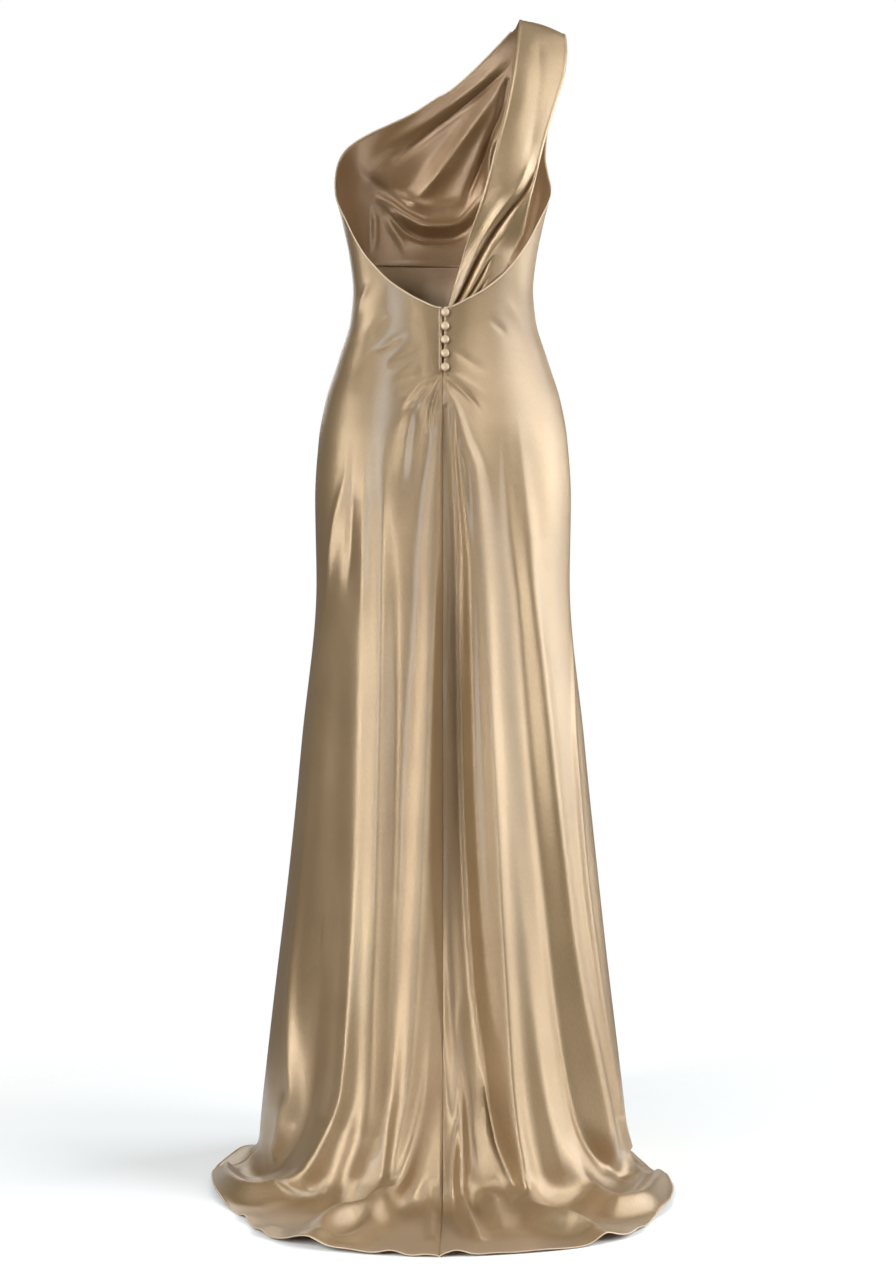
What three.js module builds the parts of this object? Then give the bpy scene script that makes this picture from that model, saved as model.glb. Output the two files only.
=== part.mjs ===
// One-shoulder satin evening dress: a draped front, an open back crossed by a pleated shoulder strap,
// five covered buttons over a short slit, a gathered seat and a skirt that ends in a short train.
// Millimetres, +Z up. The wearer faces -Y and their left is +X. While it is worked out, the dress
// stands with the floor at z = 0 and the body's axis at x = y = 0. The group is then moved so that
// the origin lies under the strap, where the right shoulder holds the dress.
import * as THREE from 'three';

// Driving dimensions
const WALL = 1.5;
const SEAM_GAP = 0.3;
const SLIT_WIDTH = 2.4;
const BINDING = { width: 3, proud: 0.35 };
const BUTTON = { diameter: 11.4, dome: 5.2, rim: 1.6, lip: 0.8, shankRadius: 1.1, shankLength: 1.4 };
const BUTTON_ROW = { count: 5, pitch: 17.8, x: -2.7, topZ: 1137.5 };
const GATHER_Z = 1060;
const WAIST_SEAM_Z = 1213;
const UNDERARM_Z = 1297;
const FRONT_HEM_Z = 4;
const BEND = 46;
const ROUNDNESS = 2 / 2.3;
const SHOULDER_HOLD = { x: -130, y: 1, z: 1514 };
const LEFT_SIDE = 90;
const RIGHT_SIDE = 270;

const SATIN = { color: 0xd3bd97, roughness: 0.34, metalness: 0.12 };
const SATIN_TRIM = { color: 0xd9c4a0, roughness: 0.38, metalness: 0.1 };

// A table is a list of column names and a list of rows. Each row becomes an object.
function table(columns, rows) {
  const names = columns.split(' ');
  return rows.map((row) => Object.fromEntries(names.map((name, k) => [name, row[k]])));
}

// Body sections: half width, and depth behind and in front of the axis, by height
const SECTIONS = table('z half back front', [
  [-20, 254, 265, 213],
  [0, 252, 261, 212],
  [144, 236, 229, 199],
  [360, 210, 194, 172],
  [574, 188, 164, 147],
  [788, 168, 137, 120],
  [894, 169.5, 129, 111],
  [973, 164.5, 123, 107],
  [1026, 155, 113, 104],
  [1079, 138.2, 99, 98],
  [1132, 122.3, 87.5, 93],
  [1171, 119, 83, 92],
  [1213, 123.5, 86, 99],
  [1255, 132, 90, 112],
  [1300, 142, 96, 119],
  [1354, 146, 100, 107],
  [1400, 152, 100, 93],
  [1450, 159, 92, 74],
  [1500, 163, 60, 42],
  [1530, 164, 12, 8],
]);

// Hem on the floor: how far it lies beyond the foot of the hanging cloth, and which way (degrees
// from +Y towards +X), by angle round the body. The front hangs just clear of the floor.
const HEM = table('angle reach heading', [
  [-180, -4, -180],
  [-135, -4, -130],
  [-120, 0, -105],
  [-105, 11, -92],
  [-90, 23, -72],
  [-75, 70, -50],
  [-60, 92, -48],
  [-45, 132, -35],
  [-32, 188, -23.5],
  [-20, 208, -14],
  [-10, 218, -4],
  [0, 224, 1],
  [10, 219, 5],
  [20, 209, 12],
  [32, 186, 19.5],
  [45, 117, 33],
  [60, 80, 53],
  [75, 63, 64],
  [90, 52, 80],
  [105, 34, 94],
  [120, 7, 106],
  [135, -4, 130],
  [180, -4, 180],
]);

// Skirt folds: angle round the body at each level and how far each stands out there. Side widths in
// degrees. The levels are the gather under the buttons, the seat, hip, knee, shin, floor and hem.
const LEVELS = [GATHER_Z, 894, 761, 450, 144, 0, -200];
const FOLD_COLUMNS = 'name left right atGather atSeat atHip atShin atHem gather seat hip knee shin floor hem';
const FOLDS = table(FOLD_COLUMNS, [
  ['seam ridge left', 3.4, 2, 0.7, 2.2, 4.5, 9.5, 12, 1.5, 5, 8, 12, 16, 19, 7],
  ['second ridge left', 1.5, 1.6, 1, 2, 3, 5, 5, 0, 0, 0, 1, 4, 7, 4],
  ['hollow left of seam', 4.5, 4.5, 8, 12, 19, 16, 16, 0, -2, -4, -7, -9, 0, 0],
  ['broad fold left', 5.5, 5.5, 15, 27, 30, 25.5, 24, 0, 3, 6, 10, 13, 14, 6],
  ['deep hollow left', 8, 8, 40, 43, 46, 45.7, 45, 0, -3, -6, -10, -14, 0, 0],
  ['side fold left', 8, 8, 60, 62, 63, 71, 72, 0, 0, 4, 7, 10, 15, 5],
  ['hollow right of seam', 2.6, 3.4, -1, -3.2, -4, -5.5, -7, -1, -6, -8, -10, -11, 0, 0],
  ['seam tongue right', 1.8, 2.4, -1, -1, -1.2, -2.4, -5, 0, 0, 1, 2, 3, 9, 3],
  ['gathered fold right', 6, 3, -3, -11.5, -14, -16, -17, 2, 6, 8, 12, 15, 17, 9],
  ['second fold right', 4.5, 4, -8, -20, -25, -27, -30, 0, 2, 6, 9, 11, 12, 4],
  ['deep hollow right', 5.5, 5.5, -20, -29, -32, -38, -42, 0, -3, -6, -10, -14, 0, 0],
  ['broad fold right', 6, 5, -30, -39, -41, -49, -52, 0, 3, 6, 9, 13, 18, 8],
  ['pressed line right', 2.5, 2.5, -56, -58, -61, -57, -57, 0, 0, -2, -5, -6, 0, 0],
  ['side fold right', 7, 5, -66, -68, -71, -66, -66, 0, 0, 4, 8, 10, 14, 4],
  ['edge fold right', 6, 6, -86, -86, -86, -86, -86, 0, 0, 0, 0, 2, 12, 3],
  ['front fold 1', 8, 8, 112, 112, 112, 110, 110, 0, 0, 3, 7, 10, 9, 9],
  ['front fold 2', 9, 9, 138, 138, 138, 137, 137, 0, 0, 4, 9, 12, 13, 13],
  ['front fold 3', 9, 9, 164, 164, 164, 165, 165, 0, 0, 3, 7, 10, 11, 11],
  ['front fold 4', 9, 9, -168, -168, -168, -167, -167, 0, 0, 4, 9, 12, 13, 13],
  ['front fold 5', 9, 9, -142, -142, -142, -141, -141, 0, 0, 3, 8, 11, 12, 12],
  ['front fold 6', 8, 8, -116, -116, -116, -112, -112, 0, 0, 4, 8, 11, 10, 10],
]);

// Gathers that run from the lowest button over the seat, and drag creases at the waist: both ends on
// the back, the half width and how far each stands out
const CREASES = table('name x1 z1 x2 z2 width rise', [
  ['gather left 1', 2, 1056, 50, 1010, 5, -3],
  ['gather left 2', 3, 1054, 30, 1012, 4.5, 3],
  ['gather left 3', 2, 1050, 16, 985, 4.5, -3],
  ['gather right 1', -3, 1057, -44, 1018, 5, -4],
  ['gather right 2', -2, 1048, -13, 1000, 4.5, -3],
  ['waist left 1', 94, 1088, 50, 1107, 7, -4],
  ['waist left 2', 72, 1069, 32, 1088, 7, -2],
  ['waist left 3', 96, 1116, 74, 1129, 7, -2],
  ['waist left 4', 62, 1047, 30, 1063, 7, -2],
  ['waist right 1', -14, 1089, -56, 1062, 7, -2],
]);

// Front neckline and right armhole by angle round the body, from the shoulder down
const NECKLINE = table('angle z', [
  [213, 1517.5],
  [202, 1491],
  [191, 1462.5],
  [181, 1437],
  [168, 1411.5],
  [157, 1398],
  [144, 1385],
  [131, 1371.5],
  [119, 1358],
  [108, 1341],
  [98, 1320],
  [90, 1298],
]);
const ARMHOLE = table('angle z', [
  [256, 1500],
  [253, 1470],
  [249, 1430],
  [246, 1390],
  [247, 1354],
  [254, 1325],
  [270, 1298],
]);

// Low back neckline: x and height, from the left underarm to the right one
const BACK_NECK = table('x z', [
  [143, 1300.3],
  [129, 1264],
  [116, 1237],
  [104, 1217],
  [89, 1199],
  [72, 1182],
  [52, 1167.5],
  [28, 1154],
  [0, 1145],
  [-31, 1156.5],
  [-55, 1170],
  [-79, 1189.5],
  [-96, 1209],
  [-111, 1231],
  [-124, 1256],
  [-134, 1276],
  [-143, 1300.3],
]);

// Folds of the draped front fan out from the pleats at the shoulder. The direction is in degrees
// below the horizontal, towards the wearer's left, and the rise is away from the body.
const PLEAT_POINT = { x: -84, z: 1458, starts: 6, full: 65, reach: 230, fade: 0.75 };
const FRONT_FOLDS = table('name direction width rise', [
  ['neckline roll', 26, 5, -5],
  ['first crease', 36, 4, 9],
  ['broad fold', 53, 9, -11],
  ['second crease', 71, 4, 8],
  ['narrow fold', 80, 3.5, -6],
  ['third crease', 91, 5, 6],
  ['armhole fold', 104, 6, -5],
]);
// The cowl's lowest roll hangs in a curve over a hollow. Near the side and waist seams the drape is calm.
const COWL = { x: 6, z: 1261, curve: 0.0072, halfWidth: 88, roll: -11, hollow: 9, size: 11, apart: 1.9 };
const CALM = { top: 1253, from: 50, to: 76 };

// Strap stations from the front shoulder seam, over the shoulder and down across the open back:
// its inner edge and its outer edge
const STRAP = table('inX inY inZ outX outY outZ', [
  [-97, -13, 1518, -158, -19, 1500],
  [-100, 3, 1524.5, -161, 1, 1505],
  [-95, 32, 1488, -163, 14, 1484],
  [-90, 54, 1453, -160, 30, 1453],
  [-80, 75, 1399, -151, 50, 1412],
  [-70, 85, 1360, -137, 64, 1358],
  [-57, 91, 1308, -123, 74, 1297],
  [-45, 92, 1269, -106, 78, 1241],
  [-28, 87, 1218, -88, 72, 1201],
  [-8, 82, 1150, -74, 66, 1177],
  [-1, 80, 1130, -60, 69, 1155],
]);

const STRAP_FORM = { arch: 5, inside: 1.2 };

// Strap pleats: place across the strap (0 inner, 1 outer) at the lower end, where it crosses the
// open back and where it fades, the share of the strap's length where it fades, width and depth
const PLEATS = table('name atEnd atMiddle atTop fades width depth', [
  ['long pleat', 0.16, 0.45, 0.8, 0.42, 0.07, 5],
  ['second pleat', 0.4, 0.6, 0.86, 0.7, 0.06, 4],
  ['third pleat', 0.62, 0.74, 0.9, 0.76, 0.06, 4],
  ['fourth pleat', 0.82, 0.88, 0.95, 0.8, 0.05, 3],
]);

// Grid lines. Heights down the left side seam; the part of it above the waist seam belongs to the
// draped front, the rest to the skirt. Below HEM_ZONE the rows follow the bend and the train.
const SIDE_ROWS = [UNDERARM_Z, 1276, 1255, 1234, WAIST_SEAM_Z, 1180, 1145, 1110, 1085, GATHER_Z];
const SEAT_ROWS = [1051, 1040, 1027, 1012, 990, 960, 925, 880, 828];
const SKIRT_ROWS = [768, 702, 636, 570, 504, 438, 372, 308, 246, 186, 136];
const HEM_ZONE = 90;
const HEM_ROWS = [0, 0.16, 0.28, 0.36, 0.44, 0.54, 0.66, 0.78, 0.9, 1];
const NEAR_SEAM_ANGLES = [0, 1, 2.1, 3.4, 5, 7, 9.2, 11.7, 14.6, 18];
const BACK_ANGLES = [...NEAR_SEAM_ANGLES, 22, 27, 32.5, 38.5, 45, 52, 60, 69, 79, LEFT_SIDE];
const FRONT_COLUMNS = 20;
const SIDE_CELLS = 4;
const FRONT_ROWS = 15;
const STRAP_ACROSS = 16;
const STRAP_ALONG = 27;
const BUTTON_RINGS = 4;
const BUTTON_SIDES = 14;

const radians = THREE.MathUtils.degToRad;
const clamp = THREE.MathUtils.clamp;
const lerp = THREE.MathUtils.lerp;
const smooth = THREE.MathUtils.smoothstep;
const bell = (distance) => Math.exp(-distance * distance);
const wrap = (angle) => angle - 360 * Math.round(angle / 360);

// Smooth curve through a table's column, with no overshoot between its rows
function through(keys, values) {
  const count = keys.length;
  const steps = keys.slice(1).map((key, k) => (values[k + 1] - values[k]) / (key - keys[k]));
  const slopes = keys.map((_, k) => {
    if (k === 0) return steps[0];
    if (k === count - 1) return steps[count - 2];
    const [before, after] = [steps[k - 1], steps[k]];
    return before * after > 0 ? (2 * before * after) / (before + after) : 0;
  });
  return (key) => {
    let k = 0;
    while (k < count - 2 && key > keys[k + 1]) k += 1;
    const span = keys[k + 1] - keys[k];
    const u = clamp((key - keys[k]) / span, 0, 1);
    const v = 1 - u;
    const ends = values[k] * v * v * (1 + 2 * u) + values[k + 1] * u * u * (1 + 2 * v);
    return ends + u * v * span * (slopes[k] * v - slopes[k + 1] * u);
  };
}

const column = (rows, key, name) => through(rows.map((row) => row[key]), rows.map((row) => row[name]));
const places = (rows) => rows.map((_, k) => k / (rows.length - 1));
const byPlace = (rows, name) => through(places(rows), rows.map((row) => row[name]));

const halfAt = column(SECTIONS, 'z', 'half');
const backAt = column(SECTIONS, 'z', 'back');
const frontAt = column(SECTIONS, 'z', 'front');
const reachAt = column(HEM, 'angle', 'reach');
const headingAt = column(HEM, 'angle', 'heading');
const levelKeys = LEVELS.map((z) => -z);
const foldCurves = FOLDS.map((fold) => ({
  left: fold.left,
  right: fold.right,
  angle: through(
    [levelKeys[0], levelKeys[1], levelKeys[2], levelKeys[4], levelKeys[6]],
    [fold.atGather, fold.atSeat, fold.atHip, fold.atShin, fold.atHem],
  ),
  rise: through(levelKeys, [fold.gather, fold.seat, fold.hip, fold.knee, fold.shin, fold.floor, fold.hem]),
}));

// A rounded power keeps the sections a little squarer than an ellipse
function rounded(value) {
  return Math.sign(value) * Math.abs(value) ** ROUNDNESS;
}

function sectionPoint(angle, z) {
  const cosine = Math.cos(radians(angle));
  const depth = cosine > 0 ? backAt(z) : frontAt(z);
  return new THREE.Vector3(halfAt(z) * rounded(Math.sin(radians(angle))), depth * rounded(cosine), z);
}

// Angle round the back at which the section of height z reaches x
function backAngle(x, z) {
  const share = clamp(Math.abs(x) / halfAt(z), 0, 1) ** (1 / ROUNDNESS);
  return THREE.MathUtils.radToDeg(Math.asin(share)) * Math.sign(x);
}

// The skirt's path runs down the hanging cloth (drop < 0), round a bend and along the train
// (drop > 0). The drop is the distance below the floor line, measured along the path.
function pathPoint(angle, drop) {
  const around = wrap(angle);
  const bend = clamp(0.9 * reachAt(around), 0, BEND);
  if (drop <= -bend) return sectionPoint(angle, -drop);
  const heading = radians(headingAt(around));
  const foot = sectionPoint(angle, 0).setZ(WALL);
  const outwards = new THREE.Vector3(Math.sin(heading), Math.cos(heading), 0);
  const lying = (far) => foot.clone().addScaledVector(outwards, far);
  if (drop >= bend) return lying(drop);
  const u = (drop + bend) / (2 * bend);
  const rounded = sectionPoint(angle, bend).multiplyScalar((1 - u) ** 2);
  return rounded.addScaledVector(foot, 2 * u * (1 - u)).addScaledVector(lying(bend), u * u);
}

// Unit normal of a surface given as a function of two values: its direction across, times along
function normalOf(surface, a, b, stepA, stepB) {
  const across = surface(a + stepA, b).sub(surface(a - stepA, b));
  const along = surface(a, b + stepB).sub(surface(a, b - stepB));
  return across.cross(along).normalize();
}

// How far the skirt's folds stand out at an angle and drop
function foldRise(angle, drop) {
  if (drop < -GATHER_Z) return 0;
  const width = lerp(0.3, 1, smooth(drop, -GATHER_Z, -761));
  return foldCurves.reduce((sum, fold) => {
    const offset = wrap(angle - fold.angle(drop));
    const side = (offset > 0 ? fold.left : fold.right) * width;
    return sum + fold.rise(drop) * bell(offset / side);
  }, 0);
}

// How far the gathers and drag creases stand out at a point of the back
function creaseRise(x, z) {
  return CREASES.reduce((sum, crease) => {
    const [dx, dz] = [crease.x2 - crease.x1, crease.z2 - crease.z1];
    const length = Math.hypot(dx, dz);
    const along = ((x - crease.x1) * dx + (z - crease.z1) * dz) / length;
    const aside = ((x - crease.x1) * dz - (z - crease.z1) * dx) / length;
    const taper = smooth(along, -4, 10) * (1 - smooth(along, length * 0.6, length + 12));
    return sum + crease.rise * taper * bell(aside / crease.width);
  }, 0);
}

// Outer face of the back and of the front skirt
function skirtPoint(angle, drop) {
  const base = pathPoint(angle, drop);
  const normal = normalOf(pathPoint, angle, drop, 0.05, 0.5);
  const onBack = Math.abs(wrap(angle)) < LEFT_SIDE;
  const creases = onBack && drop < -800 ? creaseRise(base.x, base.z) : 0;
  const point = base.addScaledVector(normal, foldRise(angle, drop) + creases);
  return drop > 0 ? point.setZ(Math.max(point.z, WALL)) : point;
}

// Outer face of the draped front, by angle and height
function frontPoint(angle, z) {
  const base = sectionPoint(angle, z);
  const normal = normalOf(sectionPoint, angle, z, 0.05, 0.5).negate();
  const [dx, dz] = [base.x - PLEAT_POINT.x, PLEAT_POINT.z - base.z];
  const distance = Math.hypot(dx, dz);
  const direction = THREE.MathUtils.radToDeg(Math.atan2(dz, dx));
  const fades = 1 - PLEAT_POINT.fade * smooth(distance, PLEAT_POINT.full, PLEAT_POINT.reach);
  const grows = smooth(distance, PLEAT_POINT.starts, PLEAT_POINT.full) * fades;
  const fan = FRONT_FOLDS.reduce((sum, fold) => (
    sum + fold.rise * bell((direction - fold.direction) / fold.width)), 0);
  const sideways = Math.abs(wrap(angle - 180));
  const calm = smooth(z, WAIST_SEAM_Z, CALM.top) * (1 - smooth(sideways, CALM.from, CALM.to));
  const below = (COWL.z + COWL.curve * (base.x - COWL.x) ** 2 - z) / COWL.size;
  const spread = bell((base.x - COWL.x) / COWL.halfWidth);
  const cowl = spread * (COWL.roll * bell(below) + COWL.hollow * bell(below - COWL.apart));
  return base.addScaledVector(normal, calm * (grows * (dz > 0 ? fan : 0) + cowl));
}

// Outer face of the strap: across it (0 inner edge, 1 outer edge) and along it (0 to 1)
const strapCurves = Object.fromEntries(Object.keys(STRAP[0]).map((name) => [name, byPlace(STRAP, name)]));

// Place on the shoulder line, where the strap meets the draped front
function shoulderPlace(across) {
  return neckEdge(0).lerp(armEdge(0), across);
}

function shoulderPoint(across) {
  const place = shoulderPlace(across);
  return frontPoint(place.x, place.y).add(new THREE.Vector3(0, SEAM_GAP, SEAM_GAP));
}

function strapPoint(across, along) {
  const inner = new THREE.Vector3(strapCurves.inX(along), strapCurves.inY(along), strapCurves.inZ(along));
  const outer = new THREE.Vector3(strapCurves.outX(along), strapCurves.outY(along), strapCurves.outZ(along));
  return shoulderPoint(across).lerp(inner.lerp(outer, across), smooth(along, 0, 0.1));
}

function pleatDepth(across, along) {
  return PLEATS.reduce((sum, pleat) => {
    const place = through([0.3, 0.66, 1], [pleat.atTop, pleat.atMiddle, pleat.atEnd])(along);
    const shown = smooth(along, pleat.fades - 0.12, pleat.fades + 0.15);
    return sum + pleat.depth * shown * bell((across - place) / pleat.width);
  }, 0);
}

// Seen from behind, the strap arches a little between its edges, and its pleats sink inwards. Its
// lower end lies just inside the back.
function strapSurface(across, along) {
  const point = strapPoint(across, along);
  const outward = normalOf(strapPoint, across, along, 0.02, 0.01).negate();
  const arched = smooth(along, 0, 0.2) * (1 - smooth(along, 0.7, 0.9));
  const arch = STRAP_FORM.arch * Math.sin(Math.PI * clamp(across, 0, 1)) * arched;
  const sunk = pleatDepth(across, along);
  point.addScaledVector(outward, arch - sunk);
  const panelY = sectionPoint(backAngle(point.x, point.z), point.z).y;
  const insideY = panelY - WALL - STRAP_FORM.inside - sunk;
  point.y = lerp(point.y, insideY, smooth(along, 0.6, 0.76));
  return point;
}

// Closed wall between an outer grid of points and the same grid moved in along its normals
function wallGeometry(outer, inner) {
  const rows = outer.length;
  const columns = outer[0].length;
  const points = [...outer.flat(), ...inner.flat()];
  const at = (layer, i, j) => layer * rows * columns + i * columns + j;
  const faces = [];
  const quad = (a, b, c, d) => faces.push(a, b, c, a, c, d);
  for (let i = 0; i < rows - 1; i += 1) {
    for (let j = 0; j < columns - 1; j += 1) {
      quad(at(0, i, j), at(0, i + 1, j), at(0, i + 1, j + 1), at(0, i, j + 1));
      quad(at(1, i, j), at(1, i, j + 1), at(1, i + 1, j + 1), at(1, i + 1, j));
    }
  }
  for (let i = 0; i < rows - 1; i += 1) {
    quad(at(0, i, 0), at(1, i, 0), at(1, i + 1, 0), at(0, i + 1, 0));
    quad(at(0, i + 1, columns - 1), at(1, i + 1, columns - 1), at(1, i, columns - 1), at(0, i, columns - 1));
  }
  for (let j = 0; j < columns - 1; j += 1) {
    quad(at(0, 0, j + 1), at(1, 0, j + 1), at(1, 0, j), at(0, 0, j));
    quad(at(0, rows - 1, j), at(1, rows - 1, j), at(1, rows - 1, j + 1), at(0, rows - 1, j + 1));
  }
  return closedGeometry(points, faces);
}

// Geometry from points and faces, turned so that its faces look outwards
function closedGeometry(points, faces) {
  let volume = 0;
  for (let k = 0; k < faces.length; k += 3) {
    const [a, b, c] = [points[faces[k]], points[faces[k + 1]], points[faces[k + 2]]];
    volume += a.dot(b.clone().cross(c));
  }
  if (volume < 0) faces.reverse();
  const geometry = new THREE.BufferGeometry();
  geometry.setAttribute('position', new THREE.Float32BufferAttribute(points.flatMap((p) => p.toArray()), 3));
  geometry.setIndex(faces);
  geometry.computeVertexNormals();
  return geometry;
}

// Points moved in by the wall's thickness. On the floor the cloth's underside stays level.
function innerGrid(outer, normals) {
  return outer.map((row, i) => row.map((point, j) => {
    const inner = point.clone().addScaledVector(normals[i][j], -WALL);
    return inner.setZ(Math.max(inner.z, Math.min(0, point.z)));
  }));
}

// Height of the low back neckline at an angle round the back
const neckAngles = BACK_NECK.map((row) => backAngle(row.x, row.z));
neckAngles[0] = LEFT_SIDE;
neckAngles[neckAngles.length - 1] = -LEFT_SIDE;
const backNeckZ = through([...neckAngles].reverse(), BACK_NECK.map((row) => row.z).reverse());

// Path positions of the grid rows at an angle. Above the gather they follow the back neckline, and
// near the floor they follow the bend and the train.
function pathRows(angle, top) {
  const stretch = (top - GATHER_Z) / (UNDERARM_Z - GATHER_Z);
  const upper = SIDE_ROWS.map((z) => -(GATHER_Z + (z - GATHER_Z) * stretch));
  const reach = Math.max(reachAt(wrap(angle)), -FRONT_HEM_Z);
  const lower = HEM_ROWS.map((share) => lerp(-HEM_ZONE, reach, share));
  return [...upper, ...[...SEAT_ROWS, ...SKIRT_ROWS].map((z) => -z), ...lower];
}

// Half the opening between the two back panels: wide along the slit, a seam's gap below it
function centreBackGap(z) {
  return lerp(SEAM_GAP, SLIT_WIDTH, smooth(z, GATHER_Z - 8, GATHER_Z + 8)) / 2;
}

// One back panel: side is 1 for the wearer's left and -1 for the right
function backGrid(side) {
  const outer = [];
  const normals = [];
  BACK_ANGLES.forEach((size, column) => {
    const angle = side * size;
    const edgeX = column === 0 ? side : 0;
    const edgeY = column === BACK_ANGLES.length - 1 ? SEAM_GAP / 2 : 0;
    const drops = pathRows(angle, backNeckZ(angle) - BINDING.width - SEAM_GAP);
    outer.push(drops.map((drop) => {
      const point = skirtPoint(angle, drop);
      return point.add(new THREE.Vector3(edgeX * centreBackGap(point.z), edgeY, 0));
    }));
    normals.push(drops.map((drop) => normalOf(skirtPoint, angle, drop, 0.1, 1)));
  });
  return { outer, normals };
}

const frontAngles = Array.from({ length: FRONT_COLUMNS + 1 }, (_, k) => (
  lerp(LEFT_SIDE, RIGHT_SIDE, k / FRONT_COLUMNS)));

function frontSkirtGrid() {
  const outer = [];
  const normals = [];
  frontAngles.forEach((angle, column) => {
    const edgeY = column === 0 || column === FRONT_COLUMNS ? -SEAM_GAP / 2 : 0;
    const drops = pathRows(angle, UNDERARM_Z).slice(SIDE_CELLS);
    outer.push(drops.map((drop, row) => {
      const lowered = row === 0 ? -SEAM_GAP / 2 : 0;
      return skirtPoint(angle, drop).add(new THREE.Vector3(0, edgeY, lowered));
    }));
    normals.push(drops.map((drop) => normalOf(skirtPoint, angle, drop, 0.1, 1)));
  });
  return { outer, normals };
}

// Edges of the draped front in angle and height. The fan's lines start on the shoulder and end on
// the left side seam and the waist seam; the first is the neckline, the last the armhole.
const FAN_LINES = SIDE_CELLS + FRONT_COLUMNS;
const neckCurve = { angle: byPlace(NECKLINE, 'angle'), z: byPlace(NECKLINE, 'z') };
const armCurve = { angle: byPlace(ARMHOLE, 'angle'), z: byPlace(ARMHOLE, 'z') };

function neckEdge(row) {
  const u = row / FRONT_ROWS;
  return new THREE.Vector2(neckCurve.angle(u), neckCurve.z(u));
}

function armEdge(row) {
  const armRows = FRONT_ROWS - SIDE_CELLS;
  if (row <= armRows) return new THREE.Vector2(armCurve.angle(row / armRows), armCurve.z(row / armRows));
  return new THREE.Vector2(RIGHT_SIDE, lerpRows(SIDE_ROWS, row - armRows));
}

function farEdge(line) {
  if (line <= SIDE_CELLS) return new THREE.Vector2(LEFT_SIDE, lerpRows(SIDE_ROWS, line));
  return new THREE.Vector2(lerpRows(frontAngles, line - SIDE_CELLS), WAIST_SEAM_Z);
}

function lerpRows(rows, place) {
  const k = clamp(Math.floor(place), 0, rows.length - 2);
  return lerp(rows[k], rows[k + 1], place - k);
}

// Place on the draped front, between its four edges
function fanPlace(line, row) {
  const [u, v] = [line / FAN_LINES, row / FRONT_ROWS];
  const shoulder = neckEdge(0).lerp(armEdge(0), u);
  const corners = neckEdge(0).multiplyScalar((1 - u) * (1 - v));
  corners.add(armEdge(0).multiplyScalar(u * (1 - v)));
  corners.add(farEdge(0).multiplyScalar((1 - u) * v));
  corners.add(farEdge(FAN_LINES).multiplyScalar(u * v));
  const ruled = neckEdge(row).lerp(armEdge(row), u).add(shoulder.lerp(farEdge(line), v));
  return ruled.sub(corners);
}

function bodiceGrid() {
  const outer = [];
  const normals = [];
  for (let line = 0; line <= FAN_LINES; line += 1) {
    outer.push([]);
    normals.push([]);
    for (let row = 0; row <= FRONT_ROWS; row += 1) {
      const onLeft = row === FRONT_ROWS && line <= SIDE_CELLS;
      const onRight = line === FAN_LINES && row >= FRONT_ROWS - SIDE_CELLS;
      const onWaist = row === FRONT_ROWS && line >= SIDE_CELLS;
      const place = fanPlace(line, row);
      const point = frontPoint(place.x, place.y);
      point.add(new THREE.Vector3(0, onLeft || onRight ? -SEAM_GAP / 2 : 0, onWaist ? SEAM_GAP / 2 : 0));
      outer[line].push(point);
      normals[line].push(normalOf(frontPoint, place.x, place.y, 0.1, 1).negate());
    }
  }
  return { outer, normals };
}

function strapGrid() {
  const outer = [];
  const normals = [];
  for (let i = 0; i <= STRAP_ACROSS; i += 1) {
    outer.push([]);
    normals.push([]);
    for (let j = 0; j <= STRAP_ALONG; j += 1) {
      const [across, along] = [i / STRAP_ACROSS, j / STRAP_ALONG];
      const place = shoulderPlace(across);
      outer[i].push(strapSurface(across, along));
      normals[i].push(j === 0 ? normalOf(frontPoint, place.x, place.y, 0.1, 1).negate()
        : normalOf(strapSurface, across, along, 0.01, 0.005).negate());
    }
  }
  return { outer, normals };
}

// Narrow binding along an edge: the edge's points, the directions away from the cloth in its own
// surface, and the cloth's normals
function bindingGeometry(edge, away, normals) {
  const strip = (out) => edge.map((point, k) => [SEAM_GAP, SEAM_GAP + BINDING.width].map((width) => (
    point.clone().addScaledVector(away[k], width).addScaledVector(normals[k], out))));
  return wallGeometry(strip(BINDING.proud), strip(-WALL - BINDING.proud));
}

// Directions from the grid's second line to its edge line, square to the normals
function awayFrom(edge, next, normals) {
  return edge.map((point, k) => {
    const direction = point.clone().sub(next[k]);
    return direction.addScaledVector(normals[k], -direction.dot(normals[k])).normalize();
  });
}

function satinMesh(name, geometry, finish) {
  const mesh = new THREE.Mesh(geometry, new THREE.MeshStandardMaterial({ ...finish, name: `${name}_satin` }));
  mesh.name = name;
  return mesh;
}

function panelMesh(name, grid) {
  return satinMesh(name, wallGeometry(grid.outer, innerGrid(grid.outer, grid.normals)), SATIN);
}

function backBindingMesh(name, grid) {
  const edge = grid.outer.map((line) => line[0]);
  const normals = grid.normals.map((line) => line[0]);
  const away = awayFrom(edge, grid.outer.map((line) => line[1]), normals);
  return satinMesh(name, bindingGeometry(edge, away, normals), SATIN_TRIM);
}

function frontBindingMesh(name, grid, line, nextLine, rows) {
  const edge = grid.outer[line].slice(0, rows);
  const normals = grid.normals[line].slice(0, rows);
  const away = awayFrom(edge, grid.outer[nextLine].slice(0, rows), normals);
  return satinMesh(name, bindingGeometry(edge, away, normals), SATIN_TRIM);
}

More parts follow.
